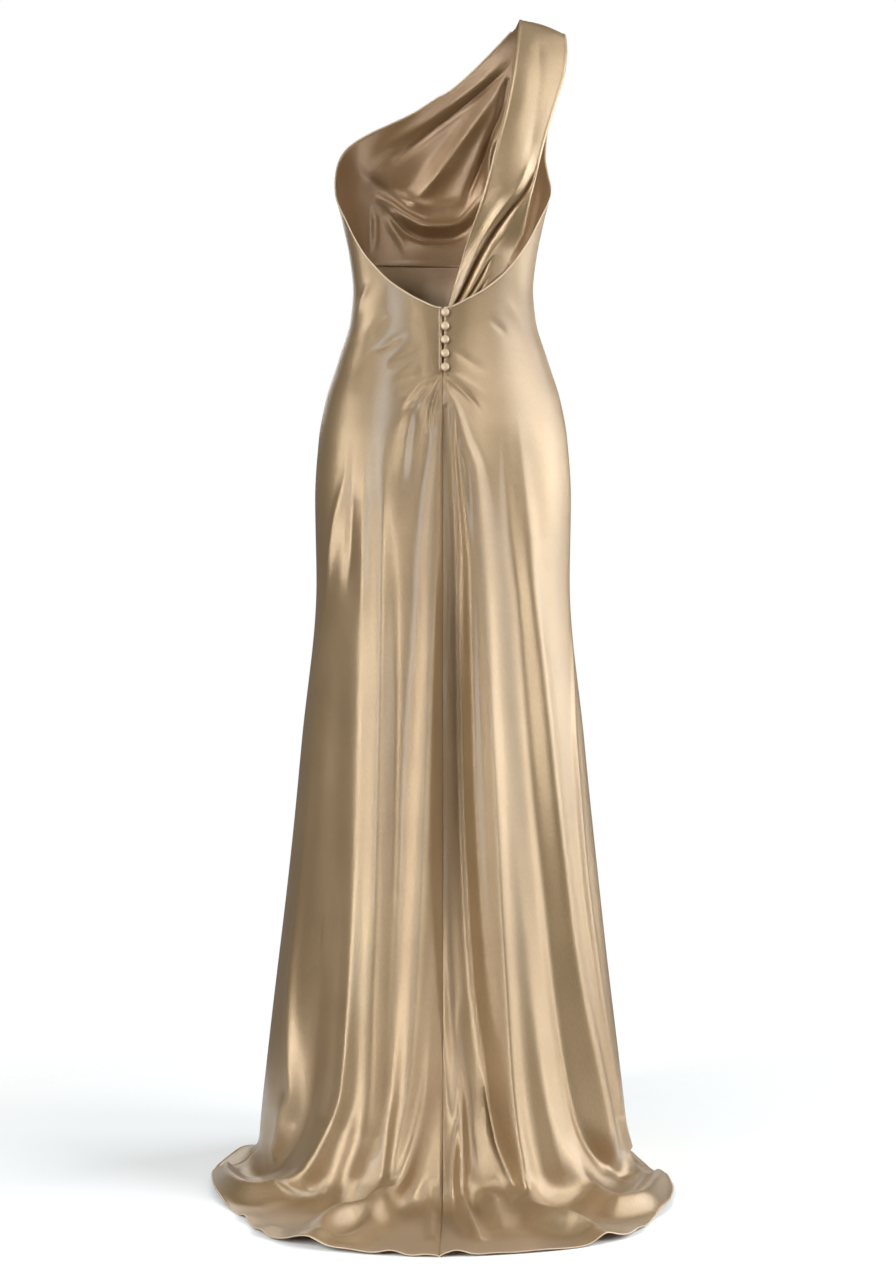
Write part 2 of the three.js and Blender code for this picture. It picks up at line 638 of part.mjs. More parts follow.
// Covered button: a dome on a short shank, its axis along the cloth's normal
function buttonMesh(index) {
  const radius = BUTTON.diameter / 2;
  const back = BUTTON.shankLength;
  const profile = [new THREE.Vector2(0, 0), new THREE.Vector2(BUTTON.shankRadius, 0)];
  profile.push(new THREE.Vector2(BUTTON.shankRadius, back), new THREE.Vector2(radius - BUTTON.lip, back));
  for (let k = 0; k < BUTTON_RINGS; k += 1) {
    const turn = (Math.PI / 2) * (k / BUTTON_RINGS);
    const height = back + BUTTON.rim + (BUTTON.dome - BUTTON.rim) * Math.sin(turn);
    profile.push(new THREE.Vector2(radius * Math.cos(turn), height));
  }
  profile.push(new THREE.Vector2(0, back + BUTTON.dome));
  const mesh = satinMesh(`button_${index + 1}`, new THREE.LatheGeometry(profile, BUTTON_SIDES), SATIN_TRIM);
  const z = BUTTON_ROW.topZ - index * BUTTON_ROW.pitch;
  const angle = backAngle(BUTTON_ROW.x, z);
  const normal = normalOf(skirtPoint, angle, -z, 0.1, 1);
  mesh.position.copy(skirtPoint(angle, -z)).addScaledVector(normal, SEAM_GAP);
  mesh.quaternion.setFromUnitVectors(new THREE.Vector3(0, 1, 0), normal);
  return mesh;
}

// The dress
const backLeft = backGrid(1);
const backRight = backGrid(-1);
const bodice = bodiceGrid();

const dress = new THREE.Group();
dress.add(panelMesh('back_left', backLeft));
dress.add(panelMesh('back_right', backRight));
dress.add(panelMesh('skirt_front', frontSkirtGrid()));
dress.add(panelMesh('bodice_front', bodice));
dress.add(panelMesh('strap', strapGrid()));
dress.add(backBindingMesh('binding_back_left', backLeft));
dress.add(backBindingMesh('binding_back_right', backRight));
dress.add(frontBindingMesh('binding_neck_front', bodice, 0, 1, FRONT_ROWS));
dress.add(frontBindingMesh('binding_armhole', bodice, FAN_LINES, FAN_LINES - 1, FRONT_ROWS - SIDE_CELLS));
for (let index = 0; index < BUTTON_ROW.count; index += 1) dress.add(buttonMesh(index));
dress.position.set(-SHOULDER_HOLD.x, -SHOULDER_HOLD.y, -SHOULDER_HOLD.z);

const model = new THREE.Group();
model.add(dress);
export default model;
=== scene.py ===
"""One-shoulder satin evening dress, seen from behind: draped front, open back crossed by a pleated
strap, covered buttons, gathered seat and a short train. Worked out in millimetres with the floor at
z = 0 and the body's axis at x = y = 0, then moved so that the origin lies under the strap."""
import math

import bmesh
import bpy
import numpy as np
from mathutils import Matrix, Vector


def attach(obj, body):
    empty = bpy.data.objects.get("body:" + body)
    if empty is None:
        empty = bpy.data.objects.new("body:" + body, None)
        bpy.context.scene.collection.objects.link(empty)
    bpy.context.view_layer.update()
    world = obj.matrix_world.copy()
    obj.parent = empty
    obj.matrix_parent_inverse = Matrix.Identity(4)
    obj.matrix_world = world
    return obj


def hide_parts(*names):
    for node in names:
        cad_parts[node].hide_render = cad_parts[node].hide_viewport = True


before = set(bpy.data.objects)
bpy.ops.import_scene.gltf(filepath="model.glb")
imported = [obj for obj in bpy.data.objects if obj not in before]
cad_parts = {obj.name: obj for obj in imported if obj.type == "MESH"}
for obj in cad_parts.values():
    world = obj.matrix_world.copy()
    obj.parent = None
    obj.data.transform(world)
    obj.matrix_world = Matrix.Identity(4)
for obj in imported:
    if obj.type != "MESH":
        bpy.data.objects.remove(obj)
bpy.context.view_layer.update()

# Sizes of the dress in millimetres. WALL is the solid's thickness, whose outside the shells follow,
# CLOTH is the shells' own. CLOSED_GAP and SLIT_WIDTH are the room between the back panels, sewn and
# open, and BEND is how far from its foot the hanging cloth turns on to the floor.
SHOULDER_HOLD = np.array([-130.0, 1.0, 1514.0])
WALL = 1.5
CLOTH = 0.6
STRAP_CLOTH = 1.1
SEAM_GAP = 0.3
SEAM_ALLOWANCE = 7.0
ALLOWANCE_TUCK = 0.9
SLIT_WIDTH = 2.4
CLOSED_GAP = 0.08
BINDING_WIDTH = 3.0
GATHER_Z = 1060.0
WAIST_SEAM_Z = 1213.0
UNDERARM_Z = 1297.0
FRONT_HEM_Z = 4.0
HIP_Z = 788.0
BEND = 46.0

# Sides of the body in degrees round from the centre back, and the power of the sections' outline
LEFT_SIDE, RIGHT_SIDE = 90.0, 270.0
ROUNDNESS = 2 / 2.3

# Bindings and hems: width, thickness and how far their middle stands out of the cloth's edge, the
# height of the hem's middle over the floor, and the length in metres that the weave is laid over
BINDING_SECTION = (2.7, 1.9, 0.9)
HEM_SECTION = (2.2, 1.7, 0.2)
HEM_LIFT = 1.0
PIPING_LENGTH = 0.6

# Steps that a surface's normals are taken over, in degrees and millimetres, and a sheet's edge, in
# shares of the sheet
ANGLE_STEP, DROP_STEP = 0.05, 0.5
EDGE_STEP = 0.004

# Body sections: height, half width, depth behind and in front of the axis
SECTIONS = (
    (-20, 254, 265, 213), (0, 252, 261, 212), (144, 236, 229, 199), (360, 210, 194, 172),
    (574, 188, 164, 147), (788, 168, 137, 120), (894, 169.5, 129, 111), (973, 164.5, 123, 107),
    (1026, 155, 113, 104), (1079, 138.2, 99, 98), (1132, 122.3, 87.5, 93), (1171, 119, 83, 92),
    (1213, 123.5, 86, 99), (1255, 132, 90, 112), (1300, 142, 96, 119), (1354, 146, 100, 107),
    (1400, 152, 100, 93), (1450, 159, 92, 74), (1500, 163, 60, 42), (1530, 164, 12, 8),
)

# Hem on the floor: angle round the body, reach beyond the hanging cloth's foot, and its heading
HEM = (
    (-180, -4, -180), (-135, -4, -130), (-120, 0, -105), (-105, 11, -92), (-90, 23, -72),
    (-75, 70, -50), (-60, 92, -48), (-45, 132, -35), (-32, 188, -23.5), (-20, 208, -14),
    (-10, 218, -4), (0, 224, 1), (10, 219, 5), (20, 209, 12), (32, 186, 19.5), (45, 117, 33),
    (60, 80, 53), (75, 63, 64), (90, 52, 80), (105, 34, 94), (120, 7, 106), (135, -4, 130),
    (180, -4, 180),
)

# Folds of the back, each with its half widths towards the wearer's left and right and the points
# that its crest runs through: place across the back, way down from the floor line (hanging cloth is
# below zero, the train above) and how far it stands out, or in where that is below zero
BACK_FOLDS = (
    ("seam ridge", 19, 11, (
        (2, -1050, 1), (4, -972, 6), (6, -896, 11), (9, -768, 17), (15, -640, 20), (20, -512, 21),
        (24, -388, 21), (31, -260, 20), (41, -152, 18), (52, -100, 20), (62, -45, 24), (73, 12, 28),
        (88, 72, 32), (105, 99, 34), (122, 113, 34), (144, 148, 27), (157, 202, 12))),
    ("second ridge", 7, 8, (
        (10, -400, 0.5), (11, -330, 2), (13, -260, 5), (19, -160, 9), (30, -100, 11), (44, -51, 13),
        (60, -3, 15), (81, 90, 15), (100, 160, 14), (122, 188, 11), (140, 186, 8))),
    ("crease beside the ridge", 9, 13, (
        (56, -880, 0), (56, -800, -1), (57, -640, -2), (60, -512, -3), (62, -384, -3), (63, -260, -4),
        (65, -184, -6), (69, -112, -8), (74, -38, -8), (87, -8, -6), (111, 12, -4), (136, 34, -3),
        (153, 78, -2))),
    ("inner fold left", 15, 10, (
        (76, -970, 0), (76, -915, 0.8), (76, -868, 3), (75, -820, 5), (73, -768, 7), (72, -640, 9),
        (73, -512, 10), (76, -384, 11), (83, -260, 10), (90, -148, 10), (102, -84, 11),
        (118, -34, 9), (126, 10, 5))),
    ("outer fold left", 10, 7, (
        (101, -980, 0), (100, -930, 0.6), (100, -868, 2.5), (98, -816, 3), (98, -768, 2),
        (100, -700, 0.5), (102, -512, 0.5), (105, -384, 2), (111, -256, 5), (121, -144, 9),
        (140, -92, 9), (157, -48, 8), (172, -9, 6))),
    ("valley left", 10, 10, (
        (117, -975, 0), (118, -930, -0.8), (119, -880, -2.5), (120, -830, -3), (122, -780, -0.5))),
    ("long fold left", 36, 50, (
        (83, -1010, 0), (84, -950, 0.8), (86, -895, 3), (88, -830, 7.5), (90, -764, 12.5),
        (92, -636, 18), (95, -508, 20), (99, -380, 20), (106, -260, 17), (120, -150, 9),
        (132, -100, 1))),
    ("deep hollow left", 34, 20, (
        (156, -300, -1), (162, -230, -5), (180, -136, -16), (202, -80, -24), (228, -40, -24),
        (247, -10, -16))),
    ("edge fold left", 9, 10, (
        (121, -975, 0), (127, -925, 0.9), (141, -868, 3), (147, -830, 3), (154, -764, 1),
        (168, -632, 0.5), (176, -504, 1), (188, -376, 2), (200, -244, 5), (204, -132, 7),
        (217, -100, 8), (226, -72, 9), (236, -44, 9))),
    ("pocket rim left", 14, 14, (
        (146, -110, 1), (153, -76, 6), (166, -44, 14), (188, -12, 21), (210, 16, 26), (231, 44, 28),
        (252, 60, 28), (273, 51, 26), (284, 36, 18))),
    ("seat hollow left", 26, 15, (
        (40, -1012, -0.5), (46, -985, -2.8), (51, -950, -3), (55, -915, -1.6), (58, -880, -0.4))),
    ("trench beside the seam", 21, 22, (
        (-5, -1010, -3), (-6, -960, -8), (-8, -868, -13), (-10, -768, -18), (-12, -640, -22),
        (-14, -512, -24), (-18, -388, -25), (-26, -260, -24), (-35, -188, -21), (-44, -124, -17),
        (-54, -76, -14), (-70, -40, -7))),
    ("bottom of the trench", 14, 5, (
        (-14, -1000, -0.5), (-20, -868, -2), (-25, -640, -3.5), (-29, -512, -4), (-35, -388, -4),
        (-44, -260, -4), (-54, -124, -2))),
    ("ledge in the trench", 3, 3, (
        (-16, -920, 0.5), (-20, -868, 1), (-24, -768, 1.2), (-27, -640, 1.2), (-31, -512, 1),
        (-36, -420, 0.5))),
    ("trench's far edge", 4, 4, (
        (-47, -260, -2), (-57, -184, -5), (-62, -136, -7), (-71, -88, -8), (-81, -56, -7),
        (-92, -22, -6), (-102, 20, -5), (-118, 80, -4), (-142, 118, -3), (-165, 118, -1.5))),
    ("gathered fold right", 10, 15, (
        (-4, -1044, 1.5), (-18, -1012, 4), (-29, -972, 6), (-41, -936, 7), (-47, -868, 9),
        (-50, -820, 10.5), (-53, -768, 12), (-58, -640, 14), (-64, -512, 16), (-70, -384, 17),
        (-77, -260, 18), (-84, -148, 19), (-91, -84, 20), (-96, -42, 24), (-109, 45, 32),
        (-126, 105, 33), (-151, 136, 31), (-170, 148, 24), (-186, 164, 15), (-200, 204, 5))),
    ("second fold right", 14, 14, (
        (-86, -560, 0.5), (-90, -480, 2), (-98, -384, 4), (-110, -256, 7), (-120, -170, 9),
        (-130, -110, 10), (-142, -50, 9), (-156, -4, 4))),
    ("deep hollow right", 10, 11, (
        (-74, -1000, 0), (-78, -955, -0.7), (-82, -910, -1.9), (-88, -844, -3.4), (-98, -768, -4),
        (-108, -640, -4.5), (-119, -512, -4.5), (-133, -380, -5), (-148, -252, -6),
        (-165, -152, -9), (-185, -84, -13), (-212, -40, -15), (-238, -10, -11))),
    ("broad fold right", 12, 15, (
        (-96, -1010, 0), (-101, -960, 0.8), (-105, -915, 2.2), (-110, -860, 4), (-115, -781, 6),
        (-122, -717, 7.5), (-130, -640, 9), (-142, -512, 10.5), (-155, -400, 11),
        (-165, -320, 11), (-176, -252, 11), (-190, -180, 12), (-202, -120, 13),
        (-212, -68, 13), (-222, -30, 9))),
    ("pocket rim right", 14, 14, (
        (-140, -120, 0.5), (-150, -80, 4), (-166, -40, 12), (-193, 24, 24),
        (-222, 92, 28), (-248, 96, 28), (-268, 66, 26), (-282, 46, 18))),
    ("side line right", 5, 8, (
        (-170, -708, 1), (-171, -600, 3), (-176, -512, 4.5), (-185, -400, 5.5), (-197, -300, 6),
        (-206, -230, 7), (-217, -160, 8), (-231, -84, 9), (-243, -40, 8))),
    ("tongue beside the seam", 5, 6, (
        (-20, -250, 1), (-20, -188, 3), (-23, -136, 9), (-24, -88, 15), (-22, -38, 20),
        (-28, 44, 21), (-35, 102, 17), (-44, 150, 6))),
    ("hump right of the seam", 14, 14, ((-58, -30, 8), (-64, 24, 23), (-69, 85, 19), (-74, 125, 6))),
    ("swell left of the seam", 6, 6, ((16, -24, 3), (12, 52, 8), (11, 138, 5))),
)

# How square a fold is: a higher figure gives a flatter top and steeper sides
SOFT = 1.8
SQUARE = {"trench beside the seam": 4.5, "gathered fold right": 1.6}

# Share of their width that the folds have at the gather, how much wider they get towards the floor,
# and the levels that they widen between
GATHERED, WIDENED = 0.34, 0.3
SEAT_LEVELS, LEG_LEVELS = (-1050, -800), (-700, -60)

# Half widths from its crest at which a fold has faded out
FADED = 3.2

# Gathers from the lowest button and drag creases at the waist, in the same columns
GATHERS = (
    ("gather left 1", 3.5, 3.5, (
        (3, -1058, -1.5), (23, -1044, -3), (36, -1029, -2.6), (50, -1012, -0.4))),
    ("gather left 2", 2.8, 2.8, ((3, -1057, 0.5), (13, -1040, 2.6), (23, -1024, 2.6), (32, -1010, 0.3))),
    ("gather left 3", 2.6, 2.6, (
        (2, -1053, -0.8), (9, -1036, -2.4), (15, -1015, -2.2), (20, -985, -0.3))),
    ("gather left 4", 2.4, 2.4, ((3, -1048, 0.5), (7, -1030, 1.8), (11, -1008, 1.6), (13, -980, 0.3))),
    ("gather left 5", 4, 4, ((5, -1058, -0.5), (30, -1052, -1.6), (48, -1040, -1.4), (62, -1030, -0.2))),
    ("gather right 1", 4, 3.4, (
        (-3, -1059, -1.5), (-16, -1046, -4), (-29, -1034, -4), (-50, -1011, -0.5))),
    ("gather right 2", 2.2, 2.2, (
        (-3, -1052, 0.5), (-8, -1032, 1.6), (-11, -1005, 1.4), (-13, -970, 0.3))),
    ("gather right 3", 3.5, 3.5, (
        (-4, -1058, 0.4), (-22, -1052, 1.4), (-40, -1041, 1.2), (-56, -1029, 0.2))),
    ("waist left 1", 4.5, 6, (
        (96, -1087, -0.6), (84, -1092, -2.8), (70, -1098, -3.2), (50, -1109, -0.4))),
    ("waist left 2", 6, 6, ((74, -1068, -0.3), (58, -1076, -1.7), (44, -1083, -1.6), (28, -1091, -0.2))),
    ("waist left 3", 6, 6, ((98, -1114, -0.3), (88, -1120, -1.6), (80, -1126, -1.5), (68, -1133, -0.2))),
    ("waist left 4", 6, 6, ((64, -1046, -0.3), (50, -1053, -1.5), (40, -1058, -1.5), (28, -1064, -0.2))),
    ("waist left 5", 5, 7, ((112, -1142, 0.4), (106, -1156, 2), (100, -1168, 2), (94, -1178, 0.3))),
    ("waist right 1", 6, 6, (
        (-12, -1091, -0.2), (-28, -1080, -1.2), (-42, -1070, -1.2), (-60, -1060, -0.2))),
    ("waist right 2", 5, 5, (
        (-62, -1128, -0.2), (-70, -1122, -1), (-76, -1117, -1), (-82, -1110, -0.2))),
    ("waist right 3", 8, 8, (
        (-84, -1150, 0.3), (-92, -1140, 1.4), (-98, -1128, 1.4), (-104, -1112, 0.3))),
)

# Small lifts of the hem: place across, way down, rise, half width across and along
HEM_WAVES = (
    (62, 226, 6, 12, 30), (-17, 222, 7, 13, 32), (-62, 226, 3, 16, 26), (118, 214, 3.5, 18, 30),
    (214, 150, 5, 9, 24), (244, 118, 5, 8, 22), (-196, 190, 5, 10, 30), (-232, 150, 4, 10, 24),
    (-128, 222, 3, 20, 26), (20, 226, 2, 10, 20), (170, 196, 3, 12, 24),
)

# Folds of the skirt's sides and front: angle at the hip and at the hem, half width in degrees and
# how far each stands out at the hip, knee, shin and floor
FRONT_FOLDS = (
    (112, 108, 7.5, 2.5, 6, 9, 9), (138, 137, 9, 4, 9, 12, 13), (164, 166, 8, 3, 7, 10, 11),
    (-168, -166, 9.5, 4, 9, 12, 13), (-142, -140, 8, 3, 8, 11, 12), (-116, -112, 8, 4, 8, 11, 10),
    (125, 122, 4.5, -1.5, -4, -6, -6), (152, 151, 5, -2, -5, -7, -7), (-178, -179, 4.5, -1, -4, -6, -6),
    (-155, -153, 5.5, -2, -5, -7, -7), (-129, -126, 5, -2, -5, -7, -6),
)
FRONT_LEVELS = (-1060, -761, -450, -144, 0)

# Front neckline and right armhole: angle round the body and height, from the shoulder down
NECKLINE = (
    (213, 1517.5), (202, 1491), (191, 1462.5), (181, 1437), (168, 1411.5), (157, 1398),
    (144, 1385), (131, 1371.5), (119, 1358), (108, 1341), (98, 1320), (90, 1298),
)
ARMHOLE = (
    (256, 1500), (253, 1470), (249, 1430), (246, 1390), (247, 1354), (254, 1325), (270, 1298),
)

# Low back neckline: x and height, from the right underarm to the left one
BACK_NECK = (
    (-143, 1300.3), (-134, 1276), (-124, 1256), (-111, 1231), (-96, 1209), (-79, 1189.5),
    (-55, 1170), (-31, 1156.5), (0, 1145), (28, 1154), (52, 1167.5), (72, 1182), (89, 1199),
    (104, 1217), (116, 1237), (129, 1264), (143, 1300.3),
)

# Folds of the draped front, seen from inside: half widths and the points of each crest, with x,
# height and how far the cloth stands out away from the body
DRAPE_FOLDS = (
    ("neckline roll", 9, 9, (
        (-78, 1478, -1), (-52, 1456, -4), (-12, 1426, -5), (34, 1396, -5), (76, 1369, -3),
        (104, 1345, -1))),
    ("first crease", 4, 5, (
        (-82, 1464, 1), (-63, 1448, 6), (-41, 1430, 8), (-18, 1413, 8), (29, 1377, 6),
        (62, 1350, 2))),
    ("broad fold", 12, 10, (
        (-82, 1452, -2), (-60, 1424, -7), (-34, 1390, -10), (-4, 1350, -11), (22, 1318, -8),
        (40, 1296, -3))),
    ("second crease", 4, 5, (
        (-86, 1452, 4), (-79, 1422, 10), (-66, 1384, 13), (-50, 1343, 11), (-36, 1310, 6),
        (-29, 1292, 1))),
    ("narrow fold", 4.5, 5, (
        (-82, 1438, -2), (-72, 1405, -6), (-65, 1370, -7), (-62, 1330, -5), (-58, 1296, -2))),
    ("third crease", 5, 5, (
        (-92, 1442, 3), (-93, 1395, 10), (-89, 1345, 10), (-80, 1300, 4))),
    ("armhole fold", 6, 7, (
        (-97, 1440, -2), (-105, 1395, -5), (-106, 1350, -4), (-100, 1312, -1))),
    ("cowl roll", 6.5, 8, (
        (92, 1304, -1), (78, 1296, -5), (50, 1275, -10), (18, 1262, -12), (-16, 1263, -12),
        (-46, 1290, -7), (-60, 1314, -2))),
    ("cowl hollow", 9, 8, (
        (74, 1276, 2), (46, 1255, 7), (18, 1245, 9), (-8, 1246, 9), (-34, 1262, 7),
        (-54, 1284, 2))),
    ("upper cowl fold", 7, 7, (
        (84, 1322, -0.5), (56, 1302, -3), (22, 1290, -4), (-8, 1292, -3), (-26, 1300, -0.5))),
    ("side sweep", 10, 12, (
        (120, 1335, 0.5), (100, 1322, 3), (78, 1312, 3.5), (52, 1310, 1))),
    ("fold beside the dart", 4, 4, ((94, 1284, -1), (92, 1262, -3), (92, 1238, -3), (94, 1222, -1))),
    ("slanting fold", 6, 5, ((80, 1284, -1), (70, 1262, -4), (58, 1240, -4), (50, 1222, -2))),
    ("armhole crease", 5, 5, (
        (-138, 1330, 2), (-130, 1290, 8), (-120, 1252, 8), (-112, 1226, 3))),
    ("second armhole crease", 5, 5, (
        (-122, 1340, 2), (-114, 1300, 8), (-106, 1262, 8), (-99, 1234, 3))),
    ("bust dart", 2, 2, ((99, 1290, 0.5), (98, 1262, 1.6), (99, 1222, 1.4))),
)

# The folds fade out towards the waist seam from this height, and between these angles off the front
CALM = (1253, 50, 76)

# Strap stations from the front shoulder seam down across the open back: inner edge, outer edge
STRAP = (
    (-97, -13, 1518, -158, -19, 1500), (-100, 3, 1524.5, -161, 1, 1505),
    (-95, 31, 1488, -163, 18, 1484), (-90, 52, 1453, -160, 36, 1453),
    (-80, 72, 1399, -148, 56, 1412), (-70, 83, 1360, -132, 68, 1358),
    (-57, 89, 1308, -117, 76, 1297), (-45, 91, 1269, -101, 79, 1241),
    (-28, 87, 1218, -84, 72, 1201), (-8, 82, 1150, -74, 66, 1177), (-1, 80, 1130, -60, 69, 1155),
)

# Strap pleats: half width across, depth (below zero stands out) and the points each runs through,
# as the share of the strap's length and the share across it (0 inner edge, 1 outer)
PLEATS = (
    (0.05, 10, (
        (0.54, 0.98), (0.6, 0.87), (0.66, 0.64), (0.72, 0.48), (0.82, 0.33), (0.92, 0.17),
        (1, 0.12))),
    (0.08, -3.6, (
        (0.5, 0.84), (0.6, 0.66), (0.66, 0.46), (0.72, 0.33), (0.82, 0.2), (0.92, 0.07),
        (1, 0.03))),
    (0.07, -2.4, ((0.64, 0.9), (0.72, 0.66), (0.82, 0.47), (0.92, 0.28), (1, 0.2))),
    (0.035, 7, ((0.78, 0.62), (0.84, 0.54), (0.91, 0.4), (1, 0.3))),
    (0.035, 7, ((0.84, 0.7), (0.9, 0.61), (1, 0.5))),
    (0.035, 5, ((0.86, 0.86), (0.92, 0.8), (1, 0.72))),
    (0.05, -1.6, ((0.8, 0.76), (0.9, 0.5), (1, 0.4))),
    (0.15, 2.4, ((0.16, 0.4), (0.3, 0.5), (0.45, 0.66), (0.6, 0.84))),
)

# Covered buttons from the highest down, on the slit's right edge, and the level of a button's rim
BUTTONS = {"count": 5, "pitch": 17.8, "x": -2.7, "top": 1137.5, "radius": 5.7, "dome": 5.2}
BUTTON_RIM = 2.6

# Slight unevenness of the cloth: how far it stands in and out, and where it grows down the skirt
RIPPLE = 0.5
RIPPLE_LEVELS = (-900, -300)

# Stitched seams: how far the cloth is pulled in and the half width of the dip, and for the slit's
# edges how far they roll out, where and how wide
CENTRE_STITCH, CENTRE_PUCKER = (1.5, 1.7), (0.7, 5)
SIDE_STITCH, WAIST_STITCH = (0.7, 1.8), (0.6, 1.8)
SLIT_ROLL = (0.55, 3.2, 1.6)
SLIT_END = 6

# Strap: how far it arches out, how far its two edges roll over, and its room inside the back panel
STRAP_ARCH = 6.5
STRAP_ROLL = 0.9
STRAP_CLEARANCE = 1.2


# Curves and surfaces
def through(keys, values):
    """Smooth curve through a table's rows, with no overshoot between them."""
    keys, values = np.asarray(keys, float), np.asarray(values, float)
    steps = np.diff(values) / np.diff(keys)
    before, after = steps[:-1], steps[1:]
    same = before * after > 0
    inner = np.where(same, 2 * before * after / np.where(same, before + after, 1), 0)
    slopes = np.concatenate([steps[:1], inner, steps[-1:]])

    def curve(key):
        k = np.clip(np.searchsorted(keys, key) - 1, 0, len(keys) - 2)
        span = keys[k + 1] - keys[k]
        u = np.clip((key - keys[k]) / span, 0, 1)
        v = 1 - u
        ends = values[k] * v * v * (1 + 2 * u) + values[k + 1] * u * u * (1 + 2 * v)
        return ends + u * v * span * (slopes[k] * v - slopes[k + 1] * u)

    return curve


def by_place(values):
    return through(np.linspace(0, 1, len(values)), values)


def ease(value, start, end):
    """From 0 at the start to 1 at the end, slow at both."""
    u = np.clip((value - start) / (end - start), 0, 1)
    return u * u * (3 - 2 * u)


def bell(distance):
    return np.exp(-distance * distance)


def wrap(angle):
    return angle - 360 * np.round(angle / 360)


def rounded(value):
    return np.sign(value) * np.abs(value) ** ROUNDNESS


def stack(x, y, z):
    return np.stack(np.broadcast_arrays(x, y, z), -1).astype(float)


section_z, section_half, section_back, section_front = zip(*SECTIONS)
half_at = through(section_z, section_half)
back_at = through(section_z, section_back)
front_at = through(section_z, section_front)
hem_angle, hem_reach, hem_heading = zip(*HEM)
reach_at = through(hem_angle, hem_reach)
heading_at = through(hem_angle, hem_heading)


def section_point(angle, z):
    turn = np.radians(angle)
    depth = np.where(np.cos(turn) > 0, back_at(z), front_at(z))
    return stack(half_at(z) * rounded(np.sin(turn)), depth * rounded(np.cos(turn)), z)


def back_angle(x, z):
    share = np.clip(np.abs(x) / half_at(z), 0, 1) ** (1 / ROUNDNESS)
    return np.degrees(np.arcsin(share)) * np.sign(x)


def path_point(angle, drop):
    """Down the hanging cloth (drop below zero), round the bend and along the train."""
    angle, drop = np.broadcast_arrays(np.asarray(angle, float), np.asarray(drop, float))
    around = wrap(angle)
    bend = np.clip(0.9 * reach_at(around), 0, BEND)
    heading = np.radians(heading_at(around))
    foot = section_point(angle, np.zeros_like(drop))
    foot[..., 2] = WALL
    outwards = stack(np.sin(heading), np.cos(heading), 0)
    u = np.clip((drop + bend) / (2 * np.where(bend > 0, bend, 1)), 0, 1)[..., None]
    lying = foot + outwards * drop[..., None]
    turned = foot + outwards * bend[..., None]
    bent = section_point(angle, bend) * (1 - u) ** 2 + foot * 2 * u * (1 - u) + turned * u * u
    point = np.where((drop <= -bend)[..., None], section_point(angle, -drop), bent)
    return np.where((drop >= bend)[..., None], lying, point)


def normal_of(surface, a, b, step_a, step_b):
    across = surface(a + step_a, b) - surface(a - step_a, b)
    along = surface(a, b + step_b) - surface(a, b - step_b)
    normal = np.cross(across, along)
    return normal / np.maximum(np.linalg.norm(normal, axis=-1, keepdims=True), 1e-9)


ROUND_ANGLES = np.arange(-180, 180.25, 0.25)
ring = section_point(ROUND_ANGLES, np.full(ROUND_ANGLES.shape, HIP_Z))
ring_lengths = np.concatenate([[0], np.cumsum(np.linalg.norm(np.diff(ring, axis=0), axis=1))])
ring_lengths -= np.interp(0, ROUND_ANGLES, ring_lengths)
SIDE_GIRTH = float(np.interp(LEFT_SIDE, ROUND_ANGLES, ring_lengths))


def girth_at(angle):
    """Way round the hip from the centre back to an angle."""
    return np.interp(angle, ROUND_ANGLES, ring_lengths)


def spread(drop):
    return half_at(np.maximum(-drop, 0)) / half_at(HIP_Z)


def angle_at(x, drop):
    """Angle round the back at which the path reaches x."""
    around = np.linspace(-89.9, 89.9, 720)
    return np.array([np.interp(a, path_point(around, b)[:, 0], around) for a, b in zip(x, drop)])


def smooth_line(points, steps=5):
    """Columns of a crest's points, with more points between them."""
    places = np.arange(len(points))
    fine = np.linspace(0, len(points) - 1, steps * (len(points) - 1) + 1)
    return [through(places, column)(fine) for column in zip(*points)]


def crest(p, q, line, left, right, widen, square=SOFT):
    """Height at the points (p, q) of a fold whose crest runs along a line of (p, q, rise)."""
    line_p, line_q, line_rise = line
    reach = FADED * max(left, right) * float(np.max(widen))
    near = (p > line_p.min() - reach) & (p < line_p.max() + reach)
    near &= (q > line_q.min() - reach) & (q < line_q.max() + reach)
    height = np.zeros(p.shape)
    if not near.any():
        return height
    here_p, here_q, scale = p[near], q[near], widen[near]
    best = np.full(here_p.shape, np.inf)
    rise, side = np.zeros(here_p.shape), np.zeros(here_p.shape)
    for k in range(len(line_p) - 1):
        dp, dq = line_p[k + 1] - line_p[k], line_q[k + 1] - line_q[k]
        from_p, from_q = here_p - line_p[k], here_q - line_q[k]
        share = np.clip((from_p * dp + from_q * dq) / (dp * dp + dq * dq), 0, 1)
        distance = np.hypot(from_p - share * dp, from_q - share * dq)
        closer = distance < best
        best[closer] = distance[closer]
        rise[closer] = (line_rise[k] + (line_rise[k + 1] - line_rise[k]) * share)[closer]
        side[closer] = (dp * from_q - dq * from_p)[closer]
    width = np.where(side < 0, left, right) * scale
    height[near] = rise * np.exp(-((best / width) ** square))
    return height


def back_line(points):
    x, drop, rise = smooth_line(points)
    return girth_at(angle_at(x, drop)) * spread(drop), drop, rise


back_lines = [
    (back_line(points), left, right, SQUARE.get(name, SOFT)) for name, left, right, points in BACK_FOLDS
]
gather_lines = [(back_line(points), left, right) for _, left, right, points in GATHERS]
wave_angles = angle_at([row[0] for row in HEM_WAVES], [row[1] for row in HEM_WAVES])
front_curves = [
    (through((-800, 0), (hip, hem)), width, through(FRONT_LEVELS, (0, *rises)))
    for hip, hem, width, *rises in FRONT_FOLDS
]


